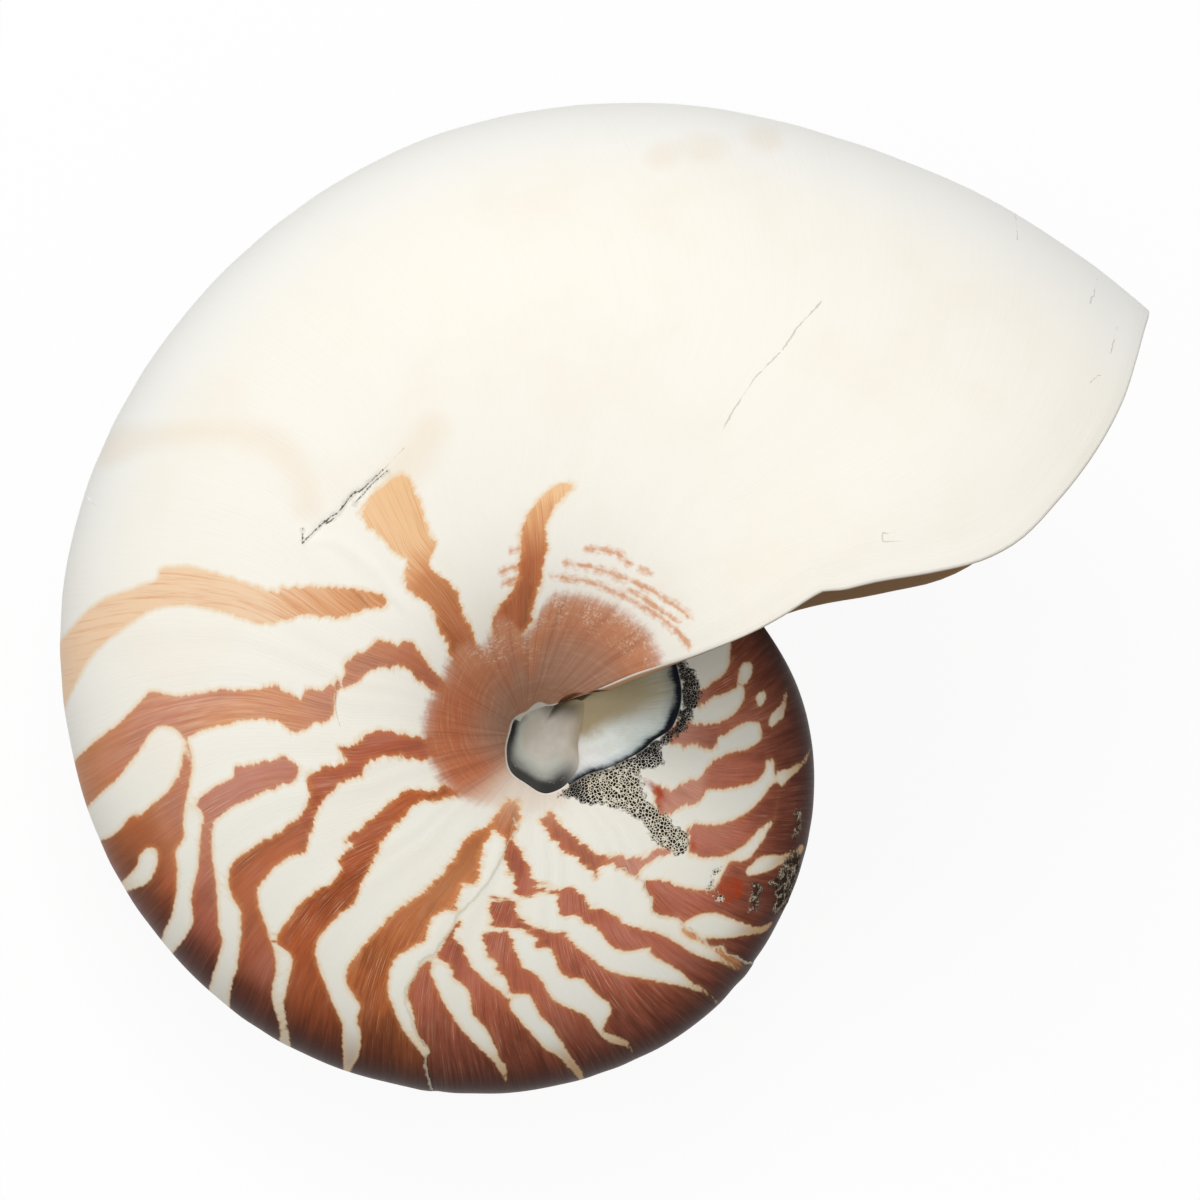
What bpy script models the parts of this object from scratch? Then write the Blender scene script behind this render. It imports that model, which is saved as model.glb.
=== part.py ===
"""Chambered nautilus shell, lying on one flank: a Blender 4.5 script, metres, +Z up.

The shell is one closed solid. Its whorl is a single cross-section swept along a logarithmic spiral. The last
third of a turn is the open body chamber, a thin wall that ends behind at the last septum and in front at the lip.
Growth angles are in degrees. They run clockwise when the shell is seen from its upper flank, starting at +X.
"""

import math

import bmesh
import bpy
from mathutils import Matrix, Vector

# Spiral
VENTER_RADIUS = 0.1063  # coil axis to venter where the lip meets it
VENTER_ANGLE = 325.0  # growth angle of that point
EXPANSION = 3.01  # radius gained per turn, as a ratio
SWELLINGS = (  # centre, spread, share of radius
    (-25.0, 12.0, -0.012),
    (60.0, 14.0, 0.012),
    (112.0, 18.0, -0.006),
    (262.0, 15.0, 0.008),
    (297.0, 13.0, -0.009),
    (328.0, 8.0, 0.012),
)

# Whorl cross-section, as shares of the venter's radius
HALF_WIDTH = 0.385
WIDEST_AT = 0.42
UMBILICAL_REACH = 0.366  # from the widest point in towards the axis, where the flank's curve would close
UMBILICAL_POWER = 2.6
VENTER_POWER = 2.0

# Body chamber
LIP_ANGLE = 334.0  # growth angle where the lip leaves the umbilicus
CHAMBER_ANGLE = 126.0  # length of the body chamber
WALL = 0.0014
SEPTUM_DEPTH = 0.011  # how far the last septum is dished away from the opening
LIP_SHEAR_ANGLE = 60.0  # the rows of the mesh turn from radial to the lip's own line over this much growth
LIP_SWEEP = (  # distance from the axis as a share of the venter's radius, degrees ahead of LIP_ANGLE
    (0.0, 0.0),
    (0.20, 1.9),
    (0.31, 1.8),
    (0.39, 0.2),
    (0.48, 2.8),
    (0.58, 4.9),
    (0.69, 2.8),
    (0.77, 0.2),
    (0.83, -1.9),
    (0.91, -5.2),
    (0.97, -8.4),
    (1.0, -10.5),
)

# Umbilicus
PLUG_HEIGHT = 0.0062  # callus plug at the axis, above the median plane

# Rest pose: the median plane leans so that the shell lies on its lower flank
LEAN = 16.2  # degrees between the coil axis and vertical
LEAN_TOWARDS = 233.3  # direction in which the upper flank tips, degrees counter-clockwise from +X

# Mesh
ROWS_PER_TURN = 60
ROW_ANGLE = 360.0 / ROWS_PER_TURN
CHAMBER_ROWS = round(CHAMBER_ANGLE / ROW_ANGLE)
VENTER_COLUMNS = 9  # columns from the widest point to the venter
FLANK_COLUMNS = 5  # columns from the inner seam to the widest point
UMBILICAL_COLUMNS = 3  # columns from the umbilical rim to the outer seam
SEPTUM_ROWS = 5


def venter_radius(angle):
    """Distance from the coil axis to the venter at a growth angle."""
    radius = VENTER_RADIUS * EXPANSION ** ((angle - VENTER_ANGLE) / 360.0)
    for centre, spread, share in SWELLINGS:
        radius *= 1.0 + share * math.exp(-(((angle - centre) / spread) ** 2))
    return radius


def half_width(x):
    """Half the whorl's width at a share x of the venter's radius, as a share of that radius."""
    if x > WIDEST_AT:
        fall = ((x - WIDEST_AT) / (1.0 - WIDEST_AT)) ** VENTER_POWER
    else:
        fall = ((WIDEST_AT - x) / UMBILICAL_REACH) ** UMBILICAL_POWER
    return HALF_WIDTH * math.sqrt(max(0.0, 1.0 - fall))


def seam_share():
    """Where each whorl's flank meets the flank of the whorl before it."""
    low, high = WIDEST_AT - UMBILICAL_REACH, 0.15
    for _ in range(50):
        middle = (low + high) / 2
        if half_width(middle) < half_width(middle * EXPANSION) / EXPANSION:
            low = middle
        else:
            high = middle
    return low


def section_shares():
    """The x shares of one half section's columns, from the umbilical rim to the venter."""
    rim = seam_share()
    outer_seam = rim * EXPANSION
    inner_seam = outer_seam + WALL * EXPANSION / venter_radius(LIP_ANGLE) * 1.15
    umbilical = [rim + (outer_seam - rim) * i / UMBILICAL_COLUMNS for i in range(UMBILICAL_COLUMNS)]
    flank = [inner_seam + (WIDEST_AT - inner_seam) * i / FLANK_COLUMNS for i in range(FLANK_COLUMNS)]
    quarter = math.pi / 2 / VENTER_COLUMNS
    venter = [WIDEST_AT + (1.0 - WIDEST_AT) * math.sin(quarter * i) for i in range(VENTER_COLUMNS + 1)]
    return umbilical + [outer_seam] + flank + venter


SHARES = section_shares()
COLUMNS = len(SHARES) - 1  # columns from rim to venter on one side
OUTER_SEAM = UMBILICAL_COLUMNS  # column of the whorl before that the rim of this whorl stands on
INNER_SEAM = OUTER_SEAM + 1


def section():
    """(x, z) shares of the whole section, from the upper flank's rim over the venter to the lower flank's rim."""
    upper = [(x, half_width(x)) for x in SHARES]
    return upper + [(x, -z) for x, z in reversed(upper[:-1])]


def inward_normals(points):
    """Unit normals that point into the whorl, one for each point of the section."""
    normals = []
    for i in range(len(points)):
        before = points[max(i - 1, 0)]
        after = points[min(i + 1, len(points) - 1)]
        along_x, along_z = after[0] - before[0], after[1] - before[1]
        length = math.hypot(along_x, along_z)
        normals.append((along_z / length, -along_x / length))
    return normals


def lip_sweep(x):
    """Degrees by which the lip runs ahead of LIP_ANGLE at a share x of the venter's radius."""
    for (x0, sweep0), (x1, sweep1) in zip(LIP_SWEEP, LIP_SWEEP[1:]):
        if x <= x1:
            t = (x - x0) / (x1 - x0)
            t = t * t * (3.0 - 2.0 * t)
            return sweep0 + (sweep1 - sweep0) * t
    return LIP_SWEEP[-1][1]


def point(angle, x, z, depth=(0.0, 0.0)):
    """A point of the whorl at a growth angle. x and z are shares of the radius; depth is (x, z) in metres."""
    shear = min(1.0, max(0.0, 1.0 - (LIP_ANGLE - angle) / LIP_SHEAR_ANGLE))
    turned = angle + lip_sweep(x) * shear * shear * (3.0 - 2.0 * shear)
    scale = venter_radius(turned)
    radius, height = x * scale + depth[0], z * scale + depth[1]
    direction = -math.radians(turned)
    return Vector((radius * math.cos(direction), radius * math.sin(direction), height))


def outer_row(angle):
    return [point(angle, x, z) for x, z in section()]


def inner_row(angle, near_foot, far_foot):
    """The chamber's inner surface. Its ends stand on the whorl before, at the two feet."""
    shares = section()
    normals = inward_normals(shares)
    row = [point(angle, x, z, (WALL * nx, WALL * nz)) for (x, z), (nx, nz) in zip(shares, normals)]
    return [near_foot] + row[1:-1] + [far_foot]


def septum_rows(edge, floor):
    """Dished rows between the chamber wall's last row and the row on the whorl before it."""
    turn = Matrix.Rotation(math.radians(SEPTUM_DEPTH / edge[COLUMNS].xy.length * 180 / math.pi), 3, "Z")
    rows = []
    for k in range(1, SEPTUM_ROWS):
        across = k / SEPTUM_ROWS
        row = []
        for j in range(1, len(edge) - 1):
            place = j / (len(edge) - 1) * (len(floor) - 1)
            left = min(int(place), len(floor) - 2)
            foot = floor[left].lerp(floor[left + 1], place - left)
            flat = edge[j].lerp(foot, across)
            dish = math.sin(math.pi * across) * min(1.0, 4.0 * min(j, len(edge) - 1 - j) / (len(edge) - 1))
            row.append(flat.lerp(turn @ flat, dish))
        rows.append(row)
    return rows


def add_vertices(mesh, rows):
    return [[mesh.verts.new(co) for co in row] for row in rows]


def bridge(mesh, first, second):
    """Faces between two rows of vertices, which may differ in count and may share their end vertices."""
    i = j = 0
    last_i, last_j = len(first) - 1, len(second) - 1
    while i < last_i or j < last_j:
        if last_i == last_j:
            corners = [first[i], first[i + 1], second[j + 1], second[j]]
            i, j = i + 1, j + 1
        elif j == last_j or (i < last_i and (i + 0.5) / last_i <= (j + 0.5) / last_j):
            corners = [first[i], first[i + 1], second[j]]
            i += 1
        else:
            corners = [first[i], second[j + 1], second[j]]
            j += 1
        distinct = list(dict.fromkeys(corners))
        if len(distinct) > 2:
            mesh.faces.new(distinct)


def close_umbilicus(mesh, rim, side):
    """The callus plug: a fan from the coil axis to the umbilical rim."""
    centre = mesh.verts.new((0.0, 0.0, side * PLUG_HEIGHT))
    for a, b in zip(rim, rim[1:] + rim[:1]):
        mesh.faces.new([centre, a, b])


def build_mesh():
    """The whole shell as one closed mesh, with the coil axis on Z and the median plane at Z = 0."""
    mesh = bmesh.new()
    far = 2 * COLUMNS
    start = LIP_ANGLE - 360.0

    # Outside: one whole turn, up to the lip. The lip's rim stands on the first row, at the outer seam.
    outside = add_vertices(mesh, [outer_row(start + ROW_ANGLE * i) for i in range(ROWS_PER_TURN)])
    lip = [mesh.verts.new(co) for co in outer_row(LIP_ANGLE)[1:-1]]
    lip = [outside[0][OUTER_SEAM]] + lip + [outside[0][far - OUTER_SEAM]]
    outside.append(lip)
    for first, second in zip(outside, outside[1:]):
        bridge(mesh, first, second)

    # Floor of the chamber: the whorl before, from the first row back to under the last septum.
    kept = slice(INNER_SEAM, far - INNER_SEAM + 1)
    floor = [outside[0][kept]]
    floor += add_vertices(mesh, [outer_row(start - ROW_ANGLE * i)[kept] for i in range(1, CHAMBER_ROWS + 1)])
    for first, second in zip(floor, floor[1:]):
        bridge(mesh, second, first)

    # Inside of the wall, from the lip back to the last septum.
    inside = []
    for i, feet in enumerate(floor):
        row = inner_row(LIP_ANGLE - ROW_ANGLE * i, feet[0].co, feet[-1].co)
        inside.append([feet[0]] + [mesh.verts.new(co) for co in row[1:-1]] + [feet[-1]])
    bridge(mesh, lip, inside[0])
    for first, second in zip(inside, inside[1:]):
        bridge(mesh, first, second)

    # Last septum.
    edge, foot = inside[-1], floor[-1]
    dish = septum_rows([v.co for v in edge], [v.co for v in foot])
    rows = [edge] + [[edge[0]] + [mesh.verts.new(co) for co in row] + [edge[-1]] for row in dish] + [foot]
    for first, second in zip(rows, rows[1:]):
        bridge(mesh, first, second)

    # Umbilical plugs.
    near_rim = [row[0] for row in outside] + [outside[0][j] for j in range(OUTER_SEAM - 1, 0, -1)]
    far_rim = [row[-1] for row in outside] + [outside[0][far - j] for j in range(OUTER_SEAM - 1, 0, -1)]
    close_umbilicus(mesh, near_rim, 1.0)
    close_umbilicus(mesh, far_rim, -1.0)

    bmesh.ops.recalc_face_normals(mesh, faces=mesh.faces)
    bmesh.ops.triangulate(mesh, faces=mesh.faces)
    return mesh


def lay_on_flank(mesh):
    """Leans the shell on to its lower flank, with the origin at the middle of its footprint."""
    towards = math.radians(LEAN_TOWARDS)
    axis = Vector((-math.sin(towards), math.cos(towards), 0.0))
    bmesh.ops.transform(mesh, matrix=Matrix.Rotation(math.radians(LEAN), 4, axis), verts=mesh.verts)
    low = Vector(min(v.co[i] for v in mesh.verts) for i in range(3))
    high = Vector(max(v.co[i] for v in mesh.verts) for i in range(3))
    offset = Vector(((low.x + high.x) / 2, (low.y + high.y) / 2, low.z))
    bmesh.ops.translate(mesh, vec=-offset, verts=mesh.verts)


def shell_material():
    material = bpy.data.materials.new("shell")
    material.use_nodes = True
    surface = material.node_tree.nodes["Principled BSDF"]
    surface.inputs["Base Color"].default_value = (0.86, 0.80, 0.69, 1.0)
    surface.inputs["Roughness"].default_value = 0.35
    surface.inputs["Metallic"].default_value = 0.0
    return material


def main():
    for obj in list(bpy.data.objects):
        bpy.data.objects.remove(obj)
    mesh = build_mesh()
    lay_on_flank(mesh)
    data = bpy.data.meshes.new("shell")
    mesh.to_mesh(data)
    mesh.free()
    data.materials.append(shell_material())
    data.shade_smooth()
    bpy.context.scene.collection.objects.link(bpy.data.objects.new("shell", data))


main()
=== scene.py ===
"""Looks of a chambered nautilus shell that lies on one flank.

Its meshes are the whorl, the two callus plugs and the last septum, and the frame gives their place. Growth
angles are in degrees and run clockwise when the shell is seen from its upper flank, starting at +X. A share
is a distance from the coil axis as a share of the venter's radius at the same growth angle. Markings are
outlines and lines in those two coordinates.
"""

import math
from types import SimpleNamespace

import bmesh
import bpy
import numpy as np
from mathutils import Matrix, Vector


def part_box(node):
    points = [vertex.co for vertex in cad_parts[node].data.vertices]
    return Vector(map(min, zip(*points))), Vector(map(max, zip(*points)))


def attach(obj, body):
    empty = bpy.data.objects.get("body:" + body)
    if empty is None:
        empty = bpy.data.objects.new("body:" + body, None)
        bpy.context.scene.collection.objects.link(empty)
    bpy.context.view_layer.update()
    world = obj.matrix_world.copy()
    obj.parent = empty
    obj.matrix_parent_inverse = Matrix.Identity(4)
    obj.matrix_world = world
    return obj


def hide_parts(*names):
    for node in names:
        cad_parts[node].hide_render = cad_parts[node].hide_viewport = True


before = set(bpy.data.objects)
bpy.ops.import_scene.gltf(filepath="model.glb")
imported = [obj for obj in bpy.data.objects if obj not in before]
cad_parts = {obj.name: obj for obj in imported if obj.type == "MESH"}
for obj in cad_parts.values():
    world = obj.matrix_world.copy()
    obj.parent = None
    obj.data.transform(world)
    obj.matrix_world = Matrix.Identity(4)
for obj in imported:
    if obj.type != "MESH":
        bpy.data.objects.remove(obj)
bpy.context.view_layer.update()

bl_info = {
    "name": "Nautilus shell",
    "version": (1, 0, 0),
    "blender": (4, 5, 0),
    "location": "View3D > Sidebar > Shell",
    "description": "Builds the finished surfaces of a nautilus shell around its fixed frame",
    "category": "Mesh",
}

MM = 0.001

# Spiral and cross-section
VENTER_ANGLE = 325.0  # growth angle at which the venter has the radius given in the sizes
SWELLINGS = (  # growth angle, spread, share of the radius
    (-25.0, 12.0, -0.012),
    (60.0, 14.0, 0.012),
    (112.0, 18.0, -0.006),
    (262.0, 15.0, 0.008),
    (297.0, 13.0, -0.009),
    (328.0, 8.0, 0.012),
)
KNEE = 0.42  # share at which the whorl is widest
UMBILICAL_REACH = 0.366
UMBILICAL_POWER = 2.6
FUNNEL_DEPTH = 5.0 * MM  # height of the umbilical funnel where it would meet the axis
FUNNEL_RISE = 10.8 * MM
FUNNEL_REACH = 12.0 * MM
FUNNEL_SHARES = (0.12, 0.25)  # between these the funnel gives way to the section
FUNNEL_SOFTNESS = 1.5 * MM
CORE_HEIGHT = 3.0 * MM  # the hidden start of the coil stays below this, rising by the slope outwards
CORE_SLOPE = 0.9
CORE_END = -62.0  # growth angle
LIP_ANGLE = 334.0
SHEAR_START = 274.0  # from here on the rows turn into the line of the lip
FIRST_ANGLE = -155.0  # the whorl before ends here, inside
EXPOSED_ANGLE = -26.0  # from here on the whorl before is outside the body chamber
CHAMBER_END = 188.0  # the solid part of the whorl reaches up to here
FINE_FROM = EXPOSED_ANGLE - 8.0  # the rows are closest together from here
MARKED_FROM = 130.0
YOUNG_FROM = 248.0  # the rows are wide apart from here
SEPTUM_ANGLE = 208.0

# Rows along the whorl, and columns across its flanks
HIDDEN_ROWS, FINE_ROWS, MARKED_ROWS, YOUNG_ROWS = 21, 261, 141, 62
NEAR_COLUMNS = (34, 56)  # inside and outside the knee
FAR_COLUMNS = (20, 42)
CRACK_COLUMNS = 14
CRACK_SHARES = (0.505, 0.565)  # the crack's columns lie between these

# Lip
LIP_TURNS = (36.0, 72.0, 108.0, 144.0)  # degrees of each of its rows around its edge
LIP_INNER = (0.1, 0.4, 0.7, 0.9)  # how far each of them counts as lining
LIP_WALL = 0.62  # share of the wall's thickness
LIP_TAPER = 14.0  # degrees of growth from the lip to the full thickness

# Markings
SCAR_REACH = 22  # degrees of younger shell that belong to a scar
JOIN = 0.7  # millimetres over which one stripe's tint gives way to the next one's
FAN_START = 58.0  # growth angle
NACRE_END = 62.0
OLDEST_END = 120.0  # rough growths, chips and blushes are on shell older than this
STRIPES_END = 300.0
PORE_SCALE = 2250.0  # pores across a metre

# Relief, in millimetres
SCAR_STEP = 0.15
CRACK_LEDGE = 0.25
CRACK_TRENCH = 0.15
LEDGE_REACH = 4.0
TRENCH_WIDTH = 0.45
CRUST_HEIGHT = 0.32
CHIP_DEPTH = 0.15
PIT_DEPTH = 0.25
PIT_RADIUS = 0.9
RIDGE_HEIGHT = 0.16
RIDGE_WIDTH = 0.7
RIPPLE_HEIGHT = 0.035
SWELL_HEIGHT = 0.10

# Umbilical plugs
CALLUS_FLOOR = 0.4 * MM
CALLUS_OVERLAP = 0.12 * MM  # how far a plug reaches under the umbilical rim
CALLUS_START = -56.0  # growth angle of the first spoke
CALLUS_SPOKES = 144
CALLUS_RINGS = 33
CALLUS_GAP = 0.5  # millimetres below the umbilical rim
CALLUS_SINK = 2.6  # millimetres lower still, away from the mouth
DOME_HEIGHT = 0.7 * MM
DOME_X, DOME_Y = 1.4, -1.6  # millimetres from the coil axis
DOME_SPREAD = 10.0

# Last septum: shares of the venter's radius, and degrees of growth
SEPTUM_MIDDLE = 0.6
SEPTUM_INNER = 0.09
SEPTUM_OUTER = 0.983
SEPTUM_BOWL = 8.5
SIPHUNCLE_BOWL = 9.0
SIPHUNCLE_RADIUS = 0.075
SEPTUM_THICKNESS = 1.1
SEPTUM_FIT = 0.965  # share of the whorl's height
SEPTUM_RINGS = 26
SEPTUM_EDGE = 34  # points along each flank
SEPTUM_ENDS = 5  # points across the venter, and across the inner edge

# Stage
WHITE = (1.0, 1.0, 1.0, 1.0)
FLOOR_WHITENESS = 0.92  # share of plain white in what the camera sees of the floor
FLOOR_HALF = 3.0  # half the floor's side in metres
VIEW_TILT_X = math.radians(-2.2)
VIEW_TILT_Y = math.radians(1.09)
KEY_OFFSET = (-0.04, 0.68, 0.74)  # from the middle of the view, in metres
KEY_SIZE = 0.5
FILL_OFFSET = (-0.62, -0.08, 0.72)
FILL_SIZE = 0.6

# Lip: share, growth angle of the margin
NEAR_LIP = (
    (.045, 304), (.052, 310), (.065, 318), (.08, 323), (.1, 326), (.145, 330.2), (.19, 333.8), (.24, 335.2),
    (.28, 335.5), (.33, 334.9), (.375, 333.9), (.39, 333.8), (.405, 334.7), (.45, 336), (.52, 338),
    (.59, 338.9), (.63, 338.5), (.71, 336), (.815, 332.2), (.86, 330.4), (.92, 327.8), (.96, 326.3),
    (1, 325.2),
)
FAR_LIP = (
    (.045, 304), (.065, 318), (.1, 326), (.145, 330.2), (.19, 332.6), (.28, 333.3), (.36, 333.2),
    (.4, 333.8), (.445, 335.1), (.487, 336.5), (.53, 337.5), (.587, 338.5), (.643, 338.2), (.71, 336.2),
    (.815, 332), (.86, 330.3), (.92, 327.6), (.96, 326.3), (1, 325.2),
)

# Umbilical rim: growth angle, distance from the coil axis in millimetres
RIM = (
    (-155, 3), (-75, 3.7), (-56, 4.6), (-43, 6.4), (-35, 7.4), (-26, 7), (-12, 6.1), (10, 5.7), (22, 5.9),
    (47, 7.8), (55, 8.2), (76, 9), (84, 9.1), (104, 7.9), (125, 7.2), (146, 5.7), (173, 4.3), (202, 3.9),
    (237, 3.1), (270, 3.8), (293, 3.8), (304, 4.5), (317, 6.5), (323, 8.7),
)

# Brown ground of the oldest visible shell, and the pale windows in it
GROUND = (
    (-40, 1.06), (-40, .845), (-26, .842), (-21, .8), (-12.8, .79), (-2.8, .798), (2.3, .8), (7.5, .818),
    (7, .835), (12.5, .848), (20.8, .853), (25.4, .836), (30.8, .812), (33.1, .785), (34.6, .752),
    (38, .748), (42, .748), (44.7, .715), (48.3, .65), (50, .61), (53.3, .57), (55.4, .555), (56.7, .574),
    (56.4, .597), (56.8, .616), (58.1, .634), (57.5, .652), (56.6, .672), (54.9, .692), (53.6, .712),
    (53.5, .735), (52.8, .768), (52, .805), (51.9, .83), (51.6, .849), (49.6, .878), (50, .897),
    (49.2, .923), (48.6, .95), (48.2, 1.06),
)
WINDOWS = (
    (
        (-18.8, .86), (-17, .86), (-14.8, .84), (-13, .81), (-12, .78), (-7.5, .76), (-5, .72), (-3.3, .68),
        (-2.3, .64), (-1.7, .6), (-3, .545), (-5, .545), (-6.8, .57), (-8, .6), (-9.6, .64), (-10.7, .68),
        (-11.5, .72), (-12.2, .76), (-13.8, .78), (-17, .81), (-18.5, .84),
    ),
    ((-9.8, .855), (-8.5, .855), (-6.5, .83), (-5.5, .8), (-7.8, .8), (-9.3, .83)),
    (
        (-10.5, .955), (-9.3, .955), (-6.3, .93), (-3.3, .9), (-1.8, .87), (-.7, .842), (-2.8, .845),
        (-4.5, .87), (-6, .9), (-8.7, .93),
    ),
    (
        (-2.8, .8), (2.3, .8), (4, .77), (5.6, .74), (7, .7), (8, .66), (9, .63), (11.3, .61), (16, .58),
        (18.8, .54), (22.5, .5), (25, .46), (16, .44), (8, .43), (5.2, .47), (6, .52), (6.1, .6), (6, .62),
        (3, .622), (1.3, .66), (-.2, .7), (-1.3, .74), (-2.5, .77),
    ),
    (
        (3.3, .985), (5, .985), (8, .95), (10.8, .9), (12.9, .87), (13.4, .848), (10.6, .848), (9.5, .87),
        (8.5, .9), (6, .95),
    ),
    (
        (23.2, .968), (24.6, .955), (26.9, .918), (29.3, .857), (31.9, .828), (34, .815), (35, .826),
        (33.2, .86), (30.4, .905), (27.6, .946), (25.3, .985), (23.3, .99),
    ),
    (
        (38.8, .978), (41.6, .942), (43.7, .88), (45.4, .821), (47.6, .769), (51.1, .743), (53.8, .735),
        (53, .775), (51.5, .816), (48.9, .856), (45.8, .908), (42.8, .96), (40.5, .985),
    ),
)

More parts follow.
